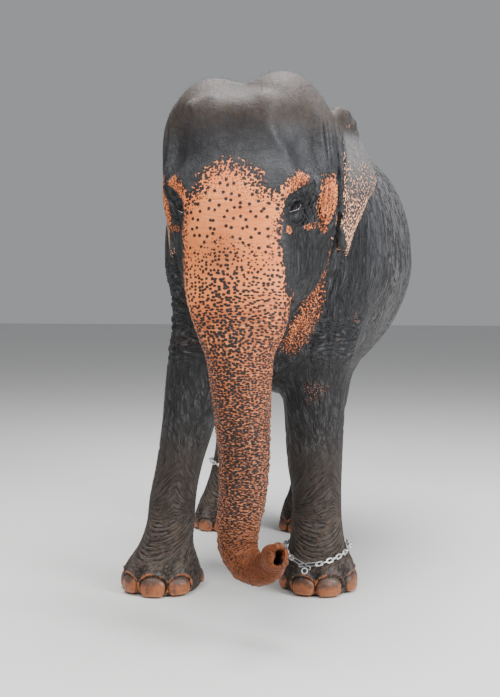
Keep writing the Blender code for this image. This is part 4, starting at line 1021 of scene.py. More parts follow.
# ---------------------------------------------------------------- markings
def outline_depth(corners, u, v):
    """How far inside an outline each point of a plane is, negative outside."""
    inside = np.zeros(len(u), bool)
    apart = np.full(len(u), FAR_OFF, np.float32)
    for (u0, v0), (u1, v1) in zip(corners, corners[1:] + corners[:1]):
        crosses = (v0 > v) != (v1 > v)
        with np.errstate(divide="ignore", invalid="ignore"):
            inside ^= crosses & (u < (u1 - u0) * (v - v0) / (v1 - v0 + 1e-12) + u0)
        span = (u1 - u0)**2 + (v1 - v0)**2
        t = np.clip(((u - u0) * (u1 - u0) + (v - v0) * (v1 - v0)) / span, 0, 1)
        apart = np.minimum(apart, np.hypot(u - u0 - t * (u1 - u0), v - v0 - t * (v1 - v0)))
    return np.where(inside, apart, -apart)


def face_cover(p, side, ahead, z, around, round_, up, length, trunk):
    """How much of the face and trunk the dark skin covers."""
    front = (ahead > -0.2) & (z > 1.2) & (z < 2.4)
    u, v, q = around[front], z[front], p[front]
    wander = 0.016 * noise(q / 0.045, 61) + 0.012 * noise(q / 0.11, 67)
    depth, cheek, bag, brow = np.full((4, len(p)), -0.5, np.float32)
    depth[front] = outline_depth(PINK_FACE, u, v) + wander
    cheek[front] = outline_depth(PINK_CHEEK, np.abs(u), v) + wander * 0.8
    bag[front] = np.maximum(outline_depth(PINK_BAG, np.abs(u), v), outline_depth(PINK_LASH, np.abs(u), v))
    bag[front] += wander * 0.3
    brow[front] = outline_depth(PINK_BROW, np.abs(u), v) + wander * 0.3
    middle, edge = (np.interp(up, FRECKLES[0], FRECKLES[k]) for k in (1, 2))
    edge += 0.08 * (round_ < -0.05) * plateau(up, 0.9, 1.1, 1.4, 1.5)
    share = np.clip(edge + (middle - edge) * bell(round_ + 0.02, 0.085), 0, 1)
    sharp = bump(side, 0.15, 0.21) * (1 - bump(z, 1.93, 2.0))
    fade = bump(-depth, -0.055 + 0.030 * sharp, 0.058 - 0.034 * sharp)
    share_face = share + (1 - share) * fade
    share_face = np.where(z < 2.16, share_face, np.maximum(share_face, bump(z, 2.12, 2.22)))
    hidden = bump(-ahead, -0.14, -0.02) * (length < 0.9)  # the back of the trunk's root is dark
    cover = np.minimum(share_face, 1 - trunk * (1 - share) * (1 - hidden))
    fade = bump(-cheek, -0.022, 0.022 + 0.030 * bump(z, 2.02, 2.08))
    # along the pleats of the pale swelling behind each eye the skin is darkened: painted shade in the
    # creases
    pleat = np.clip(cheek_folds(np.abs(around), z), 0, 1)
    cover = np.minimum(cover, fade + (1 - fade) * (0.15 + 0.60 * pleat))
    cover = np.minimum(cover, 0.34 + 0.66 * bump(-brow, -0.014, 0.026))
    return np.minimum(cover, 0.66 + 0.34 * bump(-bag, -0.006, 0.012))


def neck_band(p, side, ahead, z):
    """How far each point is outside the freckled bands down the neck, negative inside them."""
    band = np.full(len(p), 1.0, np.float32)
    near = np.flatnonzero((z > 1.2) & (z < 1.95) & (np.abs(side) > 0.05) & (ahead < 0.10) & (ahead > -0.45))
    for left in (True, False):
        chain = np.array(SPECKLED, np.float32)
        if not left:
            chain[:, 0] = 2 * HEAD_PLACE[0] - chain[:, 0]
        for first, last in zip(chain, chain[1:]):
            span = (last - first)[:3]
            t = np.clip(((p[near] - first[:3]) @ span) / (span @ span), 0, 1)
            apart = np.sqrt(((p[near] - first[:3] - t[:, None] * span)**2).sum(1))
            apart -= first[3] + (last[3] - first[3]) * t
            band[near] = np.minimum(band[near], apart + (0.0 if left else 0.012))
    return band + 0.014 * noise(p / 0.04, 73)


def nostril_shade_mask(p):
    """1 inside the nostrils, where the skin is painted near black as shade."""
    end = np.array(TRUNK[-1][1:4])
    way = end - np.array(TRUNK[-2][1:4])
    way /= np.linalg.norm(way)
    gap = p - end
    forth = gap @ way
    above = np.cross(np.cross(way, (0, 0, 1)), way)
    above /= np.linalg.norm(above)
    across = gap - forth[:, None] * way
    off = np.minimum(*[np.sqrt(((across - above * k * NOSTRIL)**2).sum(1)) for k in (-1, 1)])
    near = (forth > -0.03) * (forth < 0.075) * (np.sqrt((gap**2).sum(1)) < 0.12)
    return (1 - bump(off, 0.014, 0.023)) * near


def colour_fields(mesh, p, h, flat, length, trunk, ear, hem, ear_open, legs):
    """Where the pale skin is, and how thickly freckles cover it."""
    side, ahead, z = h.T
    round_, up = flat[:, 0], flat[:, 1]
    around, out = around_head(h), np.abs(side)
    cover = face_cover(p, side, ahead, z, around, round_, up, length, trunk)
    # the hollow round each eye: its skin is dark, and painted shade darkens it; painted shade behind each
    # cheek joins it below
    hole = np.hypot((np.abs(around) - SOCKET[0]) / SOCKET[2], (z - SOCKET[1]) / SOCKET[3])
    hole = (1 - bump(hole + 0.10 * noise(p / 0.03, 71), 0.86, 1.04)) * (ahead > 0.05)
    cover = np.maximum(cover, hole)
    # painted shade behind and under each cheek
    shade = bump(out, 0.22, 0.28) * plateau(z, 1.42, 1.52, 1.84, 1.95) * bump(ahead, -0.14, -0.04)
    band = neck_band(p, side, ahead, z)
    cover = np.minimum(cover, 1 - (1 - bump(band, -0.030, 0.034)) * (0.38 - 0.14 * noise(p / 0.05, 101)))
    # the ears' hind edges and lobes
    hem = hem + 0.012 * noise(p / 0.05, 79)
    dappled = np.interp(z, *EAR_COVER)
    dappled += 0.5 * (1 - ear_open) * (1 - bump(z, 1.93, 2.02))
    dappled -= (0.24 * (1 - bump(hem, 0.012, 0.060)) + 0.10 * (ear_open < 0.5)) * (1 - bump(z, 2.14, 2.25))
    on_ear = bump(ear, 0.5, 0.9)
    cover = np.clip(np.minimum(cover, 1 - on_ear * (1 - dappled + 0.06 * noise(p / 0.03, 89))), 0, 1)
    # sparse round dots high on the face, pepper at its edges and on the ears, marks below
    low = np.maximum(bump(-up, -1.84, -1.62), bump(out, 0.21, 0.26))
    low = np.maximum(low, bump(cover, 0.13, 0.30))
    high = np.maximum(bump(z, 1.78, 1.92) * (1 - trunk), on_ear)
    few = np.where(high > 0.5, np.minimum(cover, 0.15) * (1 - bump(out, 0.21, 0.26)), cover * (1 - low))
    many = 1 - (1 - cover) / (1 - np.minimum(few, 0.9))
    reaches = [np.interp(np.where(cover > 0.985, 1.0, share), *COVERED)
               for share in (few, many * (1 - high), many * high)]
    # marks are round on the face and turn into level streaks down the trunk
    steps = np.linspace(0, 3, 301)
    pace = 1 / np.interp(steps, *MARK_TALL)
    rows = np.concatenate([[0], np.cumsum((pace[1:] + pace[:-1]) / 2) * 0.01])
    small = 1 + 0.60 * (1 - bump(band, 0.05, 0.08))
    mark = [round_ / np.interp(up, *MARK_WIDE) * small, np.interp(up, steps, rows) * small, 0 * up]
    flank = bump(p[:, 1], -0.75, -0.35) * bump(z, 1.0, 1.5) * (1 - legs)
    # a painted sheen on the open ears, fading off their rolled tops; the flank gets a weaker painted sheen
    # in the field written below
    ear_highlight = on_ear * ear_open * (1 - bump(z, 2.30, 2.36)) * (0.30 + 0.70 * bump(z, 1.92, 2.24))
    dust = np.maximum(legs * (1 - bump(z, 0.30, 1.0)), 0.62 * bump(z, 2.26, 2.40) * bump(ahead, -0.4, -0.1))
    specks = bump(-ahead, 0.05, 0.15) * plateau(z, 0.95, 1.05, 1.40, 1.60) * (p[:, 1] < -0.80)
    mesh_attrs(mesh, dots=reaches[0], mottle=reaches[1], peppered=reaches[2], mark=np.stack(mark, axis=1),
               pale=1 - bump(cover, 0.9, 1.0), ear=ear, hole=np.maximum(hole, 0.75 * shade),
               sheen=np.clip(np.maximum(ear_highlight, 0.60 * flank), 0, 1), dust=np.clip(dust, 0, 1),
               brown=np.interp(up, *TRUNK_BROWN) * trunk,
               tan=np.exp(-((side + 0.03) / 0.10)**2 - ((z - 1.74) / 0.09)**2) * (ahead > 0),
               specks=0.62 * specks * bump(noise(p / 0.12, 83), 0.1, 0.7), hollow=nostril_shade_mask(p))


# ---------------------------------------------------------------- materials
class Nodes:
    """A material and short ways to add nodes to it; a value is a number or another node's output."""

    def __init__(self, name):
        self.mat = bpy.data.materials.new(name)
        self.mat.use_nodes = True
        self.tree = self.mat.node_tree
        self.shader = self.tree.nodes["Principled BSDF"]

    def feed(self, socket, value):
        if isinstance(value, bpy.types.NodeSocket):
            self.tree.links.new(value, socket)
        else:
            socket.default_value = value

    def node(self, kind, inputs, **settings):
        """A node with its inputs fed, by name or by number."""
        node = self.tree.nodes.new("ShaderNode" + kind)
        for key, value in settings.items():
            setattr(node, key, value)
        for key, value in (inputs.items() if isinstance(inputs, dict) else enumerate(inputs)):
            self.feed(node.inputs[key], value)
        return node.outputs

    def shade(self, **inputs):
        """Feed the shader: base_color stands for its Base Color, and so on."""
        for key, value in inputs.items():
            self.feed(self.shader.inputs[key.replace("_", " ")], value)

    def math(self, operation, a, b=0.0, c=0.0, clamp=False):
        return self.node("Math", (a, b, c), operation=operation, use_clamp=clamp)[0]

    def mul(self, a, b):
        return self.math("MULTIPLY", a, b)

    def plus(self, a, b):
        return self.math("ADD", a, b)

    def less(self, a, b, clamp=False):
        return self.math("SUBTRACT", a, b, clamp=clamp)

    def madd(self, a, b, c):
        return self.math("MULTIPLY_ADD", a, b, c)

    def mix(self, factor, a, b):
        return self.node("Mix", {"Factor": factor, 6: a, 7: b}, data_type="RGBA")[2]

    def attr(self, name):
        return self.node("Attribute", (), attribute_name=name)["Fac"]

    def vector(self, name):
        return self.node("Attribute", (), attribute_name=name)["Vector"]

    def ramp(self, value, low, high, to_low=0.0, to_high=1.0):
        names = ("Value", "From Min", "From Max", "To Min", "To Max")
        inputs = dict(zip(names, (value, low, high, to_low, to_high)))
        return self.node("MapRange", inputs, interpolation_type="SMOOTHSTEP")[0]

    def part(self, vector, index):
        return self.node("SeparateXYZ", (vector,))[index]

    def scaled(self, vector, scale):
        return self.node("VectorMath", (vector, scale), operation="MULTIPLY")[0]

    def place(self, scale):
        return self.scaled(self.node("TexCoord", ())["Object"], scale)

    def noise(self, vector, scale, detail=2.0, rough=0.5):
        inputs = {"Vector": vector, "Scale": scale, "Detail": detail, "Roughness": rough}
        return self.node("TexNoise", inputs)

    def fac(self, *noise):
        return self.noise(*noise)["Fac"]

    def voronoi(self, vector, scale, feature="F1", random=1.0, kind="3D"):
        inputs = {"Vector": vector, "Scale": scale, "Randomness": random}
        return self.node("TexVoronoi", inputs, feature=feature, voronoi_dimensions=kind)["Distance"]

    def bent(self, vector, amount, scale, detail=2.0):
        """A vector shifted about by noise."""
        moved = (self.noise(vector, scale, detail)["Color"], (amount,) * 3, vector)
        return self.node("VectorMath", moved, operation="MULTIPLY_ADD")[0]

    def relief(self, height, distance):
        self.shade(Normal=self.node("Bump", {"Distance": distance, "Height": height})[0])


def spot_mask(m, flat, mark):
    """1 where the skin is pale and free of dots, marks, pepper; 0 on them and on dark skin."""
    def apart(where, amount, bend_scale, scale, random):
        return m.voronoi(m.bent(where, amount, bend_scale), scale, random=random, kind="2D")
    dots = m.ramp(m.less(apart(flat, 0.005, 90.0, 26.0, 0.8), m.attr("dots")), -0.040, 0.040)
    marks = apart(mark, 0.50, 1.5, 1.0, 0.8)
    streaks = m.madd(m.fac(mark, 1.0, 2.0), 1.7, -0.435)
    low = m.ramp(m.part(flat, 1), 1.22, 0.76, 0.12, 0.85)
    marks = m.plus(m.mul(marks, m.less(1.0, low)), m.mul(streaks, low))
    marks = m.less(m.less(marks, m.attr("mottle")), 0.12)
    marks = m.ramp(m.madd(m.fac(mark, 0.45, 2.0), 0.24, marks), -0.07, 0.07)
    pepper = m.ramp(m.less(apart(flat, 0.012, 60.0, 78.0, 0.9), m.attr("peppered")), -0.07, 0.07)
    free = m.mul(m.mul(dots, marks), pepper)
    speck = m.math("DIVIDE", apart(flat, 0.01, 90.0, 62.0, 1.0), m.plus(m.attr("specks"), 0.001))
    return m.math("MAXIMUM", free, m.mul(m.ramp(speck, 0.26, 0.16), m.less(1.0, m.attr("pale"))))


def skin_relief(m, flow):
    """The height of the fine folds: 1 on the ridges, 0 in the grooves."""
    warp = m.bent(flow, 0.055, 6.0, 3.0)
    up = m.part(flow, 2)

    def cracks(scale, sharp, v=warp):
        return m.ramp(m.voronoi(m.scaled(v, scale), 1.0, "DISTANCE_TO_EDGE"), 0.0, sharp)

    def ridges(scale, v=warp, width=0.13):
        away = m.less(m.fac(m.scaled(v, scale), 1.0, 2.0), 0.5)
        return m.ramp(m.math("ABSOLUTE", away), 0.0, width)
    body = m.madd(ridges((34.0, 40.0, 5.0), width=0.100), 0.55,
                  m.mul(ridges((62.0, 74.0, 8.0), width=0.110), 0.40))
    slant = m.node("VectorMath", (m.part(warp, 2), (0.22, 0.0, 0.0), warp), operation="MULTIPLY_ADD")[0]
    legs = m.madd(ridges((34.0, 34.0, 6.0), slant, 0.085), 0.40,
                  m.madd(ridges((70.0, 70.0, 12.0), slant, 0.090), 0.22, 0.32))
    crease = m.bent(m.vector("crease"), 0.030, 7.0)
    low = m.madd(ridges((8.5, 46.0, 1.0), crease, 0.110), 0.42,
                 m.madd(ridges((17.0, 88.0, 1.0), crease, 0.110), 0.22, 0.30))
    foot = m.madd(ridges((42.0, 50.0, 1.0), crease, 0.090), 0.45, 0.45)
    low = m.plus(m.mul(low, m.ramp(up, 0.13, 0.19)), m.mul(foot, m.ramp(up, 0.19, 0.13)))
    high = m.ramp(up, 0.58, 0.80)
    legs = m.plus(m.mul(legs, high), m.mul(low, m.less(1.0, high)))
    rings = m.madd(cracks((14.0, 14.0, 66.0), 0.32, m.bent(flow, 0.030, 9.0)), 0.75,
                   m.mul(ridges((18.0, 18.0, 110.0)), 0.25))
    level = m.madd(cracks((10.0, 12.0, 40.0), 0.30), 0.7, m.mul(ridges((16.0, 20.0, 70.0)), 0.3))
    face = m.madd(ridges((9.0, 14.0, 62.0)), 0.28, 0.70)
    height, rest = 0.0, 1.0
    for name, pattern in dict(body=body, legs=legs, trunk=rings, arcs=face, crinkled=level).items():
        height = m.madd(pattern, m.attr(name), height)
        rest = m.less(rest, m.attr(name), clamp=True)
    return m.madd(m.madd(ridges((22.0, 22.0, 22.0)), 0.10, 0.75), rest, height), cracks((105.0,) * 3, 0.35)


def skin_material():
    m = Nodes("elephant_skin")
    flow, mark, flat = m.vector("flow"), m.vector("mark"), m.vector("flat")
    free = spot_mask(m, flat, mark)
    height, pebble = skin_relief(m, flow)
    ridge = m.plus(m.madd(m.attr("fold"), 0.30, -0.02), height)
    tint = m.fac(flow, 7.0, 5.0, 0.6)
    fine_tint = m.fac(flow, 45.0, 4.0, 0.65)
    brown, sheen = m.attr("brown"), m.attr("sheen")
    pink = m.mix(m.ramp(tint, 0.35, 0.7), PALE_PINK, DEEP_PINK)
    # the darker pink in the low parts of the folds is painted shade in the creases
    for share, colour in ((m.attr("tan"), TAN), (m.mul(m.attr("ear"), 0.8), EAR_PINK),
                          (m.mul(m.ramp(ridge, 0.75, 0.25), 0.75), PINK_CREASE_SHADE),
                          (m.ramp(brown, 0.0, 0.62), BROWN_PINK), (m.ramp(brown, 0.60, 1.0), TIP_BROWN)):
        pink = m.mix(share, pink, colour)
    rim = m.less(m.attr("cuticle"), m.madd(m.voronoi(m.bent(flow, 0.02, 60.0), 46.0), 0.9, 0.15))
    rim = m.less(rim, m.ramp(tint, 0.40, 0.62, 0.0, 0.45))
    grey = m.mix(m.ramp(tint, 0.3, 0.72), DARK_SKIN, GREY_SKIN)
    # the darker grey on the legs is painted shade under the body
    # the lighter grey on the fold ridges is partly worn skin and partly a painted highlight
    # the near black in the fold grooves, in the hollows round the eyes and under the cheeks is painted shade
    # the pale grey on the ears and flank is a painted sheen
    for share, colour in ((m.mul(m.attr("legs"), 0.75), SHADED_LEG_SKIN),
                          (m.mul(sheen, m.ramp(fine_tint, 0.25, 0.75, 0.65, 1.0)), SHEEN_GREY),
                          (m.mul(m.attr("dust"), m.ramp(fine_tint, 0.30, 0.70, 0.25, 1.0)), DUSTY),
                          (m.mul(m.ramp(ridge, 0.72, 1.10), 0.55), WORN_AND_HIGHLIT_SKIN),
                          (m.mul(m.ramp(ridge, 0.72, 0.25), 0.85), PAINTED_SHADE),
                          (m.mul(m.attr("pale"), m.madd(sheen, -0.85, 1.0)), SPOT),
                          (m.mul(m.attr("hole"), 0.55), PAINTED_SHADE), (m.ramp(rim, -0.02, 0.16), CUTICLE)):
        grey = m.mix(share, grey, colour)
    # the near black inside the nostrils is painted shade
    m.shade(Base_Color=m.mix(m.attr("hollow"), m.mix(free, grey, pink), NOSTRIL_SHADE),
            Roughness=m.madd(m.attr("dust"), 0.15, m.ramp(fine_tint, 0.3, 0.7, 0.44, 0.60)),
            Specular_IOR_Level=m.ramp(brown, 0.3, 1.0, 0.36, 0.16))
    grain = m.fac(flow, 380.0, 3.0)
    m.relief(m.madd(grain, 0.05, m.madd(pebble, 0.13, height)), 0.0065)
    return m.mat


def eye_material():
    m = Nodes("elephant_eye")
    out = m.attr("turn")
    colour = m.mix(m.ramp(out, 0.20, 0.26), (0.004, 0.003, 0.003, 1), (0.11, 0.045, 0.014, 1))
    colour = m.mix(m.ramp(out, 0.52, 0.62), colour, (0.030, 0.020, 0.016, 1))
    streak = m.ramp(m.fac(m.place((260.0, 260.0, 260.0)), 1.0, 2.0), 0.35, 0.75, 0.0, 0.4)
    m.shade(Base_Color=m.mix(streak, colour, (0.02, 0.010, 0.006, 1)), Roughness=0.06,
            Coat_Weight=0.6, Coat_Roughness=0.03)
    return m.mat


def cloudy_material(name, scale, low, high, roughness):
    """A plain material that wanders between two colours."""
    m = Nodes(name)
    fac = m.ramp(m.fac(m.place(scale), 1.0, 3.0), 0.3, 0.7)
    m.shade(Base_Color=m.mix(fac, low, high), Roughness=roughness)
    return m.mat


def nail_material():
    m = Nodes("toe_nail")
    rise = m.attr("rise")
    cloud = m.fac(m.place((1.0, 1.0, 1.0)), 24.0, 5.0, 0.62)
    streak = m.fac(m.place((190.0, 190.0, 22.0)), 1.0, 3.0, 0.6)
    horn = m.mix(m.ramp(streak, 0.3, 0.7), (0.25, 0.070, 0.022, 1), (0.38, 0.130, 0.045, 1))
    # a dark brown that spreads in patches down from the top of each nail
    dark_towards_top = m.plus(rise, m.madd(cloud, 1.8, -0.90))
    for share, colour in ((m.ramp(rise, 0.0, 0.16, 0.5, 0.0), (0.48, 0.22, 0.10, 1)),
                          (m.ramp(dark_towards_top, 0.22, 0.76, 0.0, 0.92), (0.060, 0.036, 0.026, 1)),
                          (m.ramp(cloud, 0.58, 0.74, 0.0, 0.65), (0.050, 0.032, 0.026, 1))):
        horn = m.mix(share, horn, colour)
    m.shade(Base_Color=horn, Roughness=m.ramp(cloud, 0.3, 0.7, 0.34, 0.55))
    m.relief(m.madd(streak, 0.7, cloud), 0.0022)
    return m.mat


def steel_material(name, light):
    """Worn steel with brown patches; light is its brightness."""
    m = Nodes(name)
    wide = m.place((1.0, 1.0, 1.0))
    cloud, scratch = m.fac(wide, 60.0, 5.0, 0.6), m.fac(wide, 700.0, 2.0)
    dark, bright = ((v * light, v * light, (v - 0.01) * light, 1) for v in (0.56, 0.80))
    colour = m.mix(m.ramp(cloud, 0.3, 0.7), dark, bright)
    colour = m.mix(m.ramp(cloud, 0.64, 0.80, 0.0, 0.55), colour, (0.20, 0.15, 0.11, 1))
    m.shade(Base_Color=colour, Metallic=0.75, Roughness=m.ramp(scratch, 0.2, 0.8, 0.22, 0.42))
    m.relief(scratch, 0.0004)
    return m.mat


# ---------------------------------------------------------------- eyes, nails, chains, hair
def placed(name, data):
    """A new object in the scene."""
    obj = bpy.data.objects.new(name, data)
    bpy.context.collection.objects.link(obj)
    return obj


def piece(name, work, slot, material, *nodes):
    """A finished piece from its mesh; the nodes that it stands for are hidden."""
    mesh = bpy.data.meshes.new(name)
    work.to_mesh(mesh)
    work.free()
    obj = placed(name, mesh)
    mesh.polygons.foreach_set("use_smooth", np.ones(len(mesh.polygons), bool))
    mesh.materials.append(material)
    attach(obj, "root")
    if nodes:
        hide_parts(*nodes)
    return obj


def tube(work, points, radii, sides=6, closed=False, patch=None):
    """A bent round rod through points; patch is where its hairs take their colour from."""
    count = len(points)
    uv = work.loops.layers.uv.get("OFBake") if patch is not None else None
    rings, aside = [], None
    for i, point in enumerate(points):
        if closed:
            ahead = points[(i + 1) % count] - points[i - 1]
        else:
            ahead = points[min(i + 1, count - 1)] - points[max(i - 1, 0)]
        ahead.normalize()
        if aside is None:
            aside = ahead.orthogonal().normalized()
        aside = (aside - ahead * aside.dot(ahead)).normalized()
        other = ahead.cross(aside)
        radius = radii[i] if hasattr(radii, "__len__") else radii
        rings.append([work.verts.new(point + (aside * math.cos(a) + other * math.sin(a)) * radius)
                      for a in (2 * math.pi * k / sides for k in range(sides))])
    faces = []
    for i in range(count if closed else count - 1):
        one, two = rings[i], rings[(i + 1) % count]
        for k in range(sides):
            faces.append(work.faces.new((one[k], one[(k + 1) % sides], two[(k + 1) % sides], two[k])))
    if not closed:
        faces.append(work.faces.new(rings[0][::-1]))
        faces.append(work.faces.new(rings[-1]))
    if uv is not None:
        for face in faces:
            for k, loop in enumerate(face.loops):
                turn = math.pi / 2 * k
                loop[uv].uv = (patch[0] + PATCH * math.cos(turn), patch[1] + PATCH * math.sin(turn))


def eye_point(side, u, v, w):
    """A point near an eye: u along the lids and forwards, v across them and up, w outwards."""
    out, ahead = eye_axes(side)
    c, s = math.cos(LID_TILT), math.sin(LID_TILT)
    spot = np.array((side * EYE_PLACE[0], *EYE_PLACE[1:])) + out * w + ahead * (u * c - v * s)
    spot[2] += u * s + v * c
    return Vector(head(*spot)) - Vector((*MIDDLE, 0.0))


def lid_edge(side, u, sign, proud):
    """A point on the edge of a lid, the upper where sign is 1."""
    half = LID_GAP * max(0.0, 1 - (u / LID_REACH)**2)
    over = math.sqrt(max(0.0, (EYE_RADIUS + LID_THICK)**2 - u * u - half * half))
    return eye_point(side, u, sign * half, max(over, 0.004 + 0.004 * (abs(u) < 0.04)) + proud)


def build_eyes():
    """The eyeballs, and the edge of each lower lid, whose pale grey is partly its wet skin and partly a
    painted glint.
    """
    glass = eye_material()
    # the pale grey of the lids' edges is partly the wet skin and partly a painted glint
    wet_and_glint = cloudy_material("wet_lid_edge_glint", (180.0,) * 3, (0.46, 0.38, 0.40, 1), (0.66, 0.62, 0.66, 1), 0.16)
    for name, side in (("right", -1), ("left", 1)):
        centre = eye_point(side, 0, 0, 0)
        out = (eye_point(side, 0, 0, 1) - centre).normalized()
        work = bmesh.new()
        bmesh.ops.create_uvsphere(work, u_segments=40, v_segments=24, radius=1.0)
        aim = out.to_track_quat("Z", "Y").to_matrix().to_4x4()
        for vert in work.verts:  # the cornea stands proud
            off = math.hypot(vert.co.x, vert.co.y)
            if vert.co.z > 0:
                vert.co.z += 0.10 * math.exp(-(off / 0.42)**4)
        bmesh.ops.transform(work, matrix=Matrix.Translation(centre) @ aim @ Matrix.Scale(EYE_RADIUS, 4),
                            verts=work.verts)
        eye = piece("eyeball_" + name, work, "eye", glass, "eye_" + name)
        co = read(eye.data.vertices, "co", 3) - np.array(centre)
        turn = co @ np.array(out) / np.linalg.norm(co, axis=1)
        mesh_attrs(eye.data, turn=np.arccos(np.clip(turn, -1, 1)))
        work = bmesh.new()
        reach = np.linspace(-0.043, 0.041, 27)
        tube(work, [lid_edge(side, u, -1, 0.0012) for u in reach],
             [0.0019 * max(0.25, 1 - (u / 0.046)**4) for u in reach], 8)
        piece("lid_edge_" + name, work, "eye", wet_and_glint)


def build_nails():
    """The nails of each foot, as one piece."""
    horn = nail_material()
    shift = Matrix.Translation((-MIDDLE[0], -MIDDLE[1], 0.0))
    for name, (toe_out, angles) in NAILS.items():
        cx, cy, wide, deep = eased(LEGS[name], NAIL_HEIGHT)
        size = 1.0 if name.startswith("fore") else HIND_NAILS
        whole, rises = bmesh.new(), []
        for angle in angles:
            turn = math.radians(angle + toe_out)
            middle = 1.0 - NAIL_CURVE * abs(angle) / 80.0
            spot = (cx + wide * math.sin(turn) * NAIL_SUNK, cy - deep * math.cos(turn) * NAIL_SUNK,
                    NAIL_HEIGHT * size)
            place = (shift @ Matrix.Translation(spot) @ Matrix.Rotation(turn, 4, "Z")
                     @ Matrix.Rotation(math.radians(-8), 4, "X"))
            radii = [v * size * middle for v in NAIL_SIZE]
            work = bmesh.new()
            bmesh.ops.create_uvsphere(work, u_segments=36, v_segments=24, radius=1.0)
            for vert in work.verts:  # squarer sides, a flat worn lower edge, growth ridges
                x, y, z = vert.co
                if z < 0:
                    x *= 1 + 0.16 * min(1.0, -2.5 * z) * (1 - abs(x))
                    z = -min(1.0, 1.35 * abs(z)**0.8)
                vert.co = Vector((x, y * 0.86, z))
                if y < 0:
                    vert.co.y *= 1 + 0.035 * math.sin(13 * z + 3 * x) * (1 - abs(x))
                rises.append(0.5 + 0.5 * vert.co.z)
            bmesh.ops.transform(work, matrix=place @ Matrix.Diagonal([*radii, 1.0]), verts=work.verts)
            for vert in work.verts:
                vert.co.z = max(vert.co.z, 0.001)
            mesh = bpy.data.meshes.new("part")
            work.to_mesh(mesh)
            work.free()
            whole.from_mesh(mesh)
            bpy.data.meshes.remove(mesh)
        nails = piece("toenails_" + name, whole, "nail", horn,
                      *[f"nail_{name}_{k}" for k in range(1, len(angles) + 1)])
        mesh_attrs(nails.data, rise=np.array(rises, np.float32))


def link_points(middle, along, across, half_long, half_wide, steps=22):
    """Points round the middle of a link's wire: two straight sides and two round ends."""
    straight = half_long - half_wide
    points = []
    for k in range(steps):
        a = 2 * math.pi * k / steps
        u, v = math.cos(a) * half_wide, math.sin(a) * half_wide
        points.append(middle + along * (u + math.copysign(straight, u)) + across * v)
    return points


def ring_path(leg, low, high, lowest, room):
    """Points round a leg, half a degree apart, and how far along the ring each is."""
    path, steps = [], [0.0]
    for i in range(RING_POINTS):
        angle = math.radians(lowest) + 2 * math.pi * i / RING_POINTS
        z = low + (high - low) * min(1.0, i / 2 / CHAIN_RISE[1], (360 - i / 2) / CHAIN_RISE[0])
        cx, cy, wide, deep = eased(leg, z)
        path.append(Vector((cx + (wide + room) * math.sin(angle) - MIDDLE[0],
                            cy - (deep + room) * math.cos(angle) - MIDDLE[1], z)))
    for one, two in zip(path, path[1:] + path[:1]):
        steps.append(steps[-1] + (two - one).length)
    return path, steps


def build_long_links(name, work, path, steps):
    """Two long dull links that cross at the ring's lowest point, and a small ring that hangs there."""
    bars = bmesh.new()
    for start, end, drops, outs in LONG_LINKS:
        ends = []
        for reach, drop, out in zip((start, end), drops, outs):
            spot = path[int(np.searchsorted(steps, reach % steps[-1])) % RING_POINTS]
            opposite = path[RING_POINTS // 2]
            away = Vector((spot.x - opposite.x, spot.y - opposite.y, 0)).normalized()
            ends.append(spot + away * out - Vector((0, 0, drop)))
        ahead = (ends[1] - ends[0]).normalized()
        across = ahead.cross(away).normalized()
        middle, half_long = (ends[0] + ends[1]) / 2, (ends[1] - ends[0]).length / 2
        tube(bars, link_points(middle, ahead, across, half_long, LONG_LINK[0], 30), LONG_LINK[1], 8, True)
    piece(name + "_long_links", bars, "chain", steel_material("dull_steel", 0.62))
    along, across = Vector((1, 0, 0)), Vector((0, -0.35, -0.94))
    *half, wire = HANGING_RING
    tube(work, link_points(path[0] + Vector(HANGS_AT), along, across, *half, 20), wire, 8, True)


def build_chains():
    """The chain rings, link by link."""
    steel = steel_material("chain_steel", 1.0)
    for name, (leg, *ring, knotted) in CHAINS.items():
        path, steps = ring_path(LEGS[leg], *ring)
        count = 2 * round(steps[-1] / LINK_PITCH / 2)
        work = bmesh.new()
        for n in range(count):
            reach = (n + 0.5) * steps[-1] / count
            if knotted and (reach < LONG_LINKS[1][1] or reach > steps[-1] + LONG_LINKS[0][0]):
                continue
            i = int(np.searchsorted(steps, reach)) % RING_POINTS
            ahead = (path[(i + 5) % RING_POINTS] - path[i - 5]).normalized()
            side = ahead.cross(Vector((0, 0, 1))).normalized()
            lean = math.radians((62 if n % 2 else -28) + 16 * math.sin(n * 2.4))
            across = side.cross(ahead) * math.cos(lean) + side * math.sin(lean)
            tube(work, link_points(path[i], ahead, across, LINK[0], LINK[1]), LINK[2], 8, True)
        if knotted:
            build_long_links(name, work, path, steps)
        piece(name + "_links", work, "chain", steel, name)


def unwrapped(spot):
    """Where a point of the body lies on the body rolled out flat."""
    x, y, z = spot[0] + MIDDLE[0], spot[1] + MIDDLE[1], spot[2]
    return (0.03 + 0.94 * (math.atan2(x, z - 1.72) / (2 * math.pi) + 0.5), 0.03 + 0.94 * (y + 2.05) / 3.45)


def hair_work():
    """An empty mesh with the layer that colours its hairs."""
    work = bmesh.new()
    work.loops.layers.uv.new("OFBake")
    return work


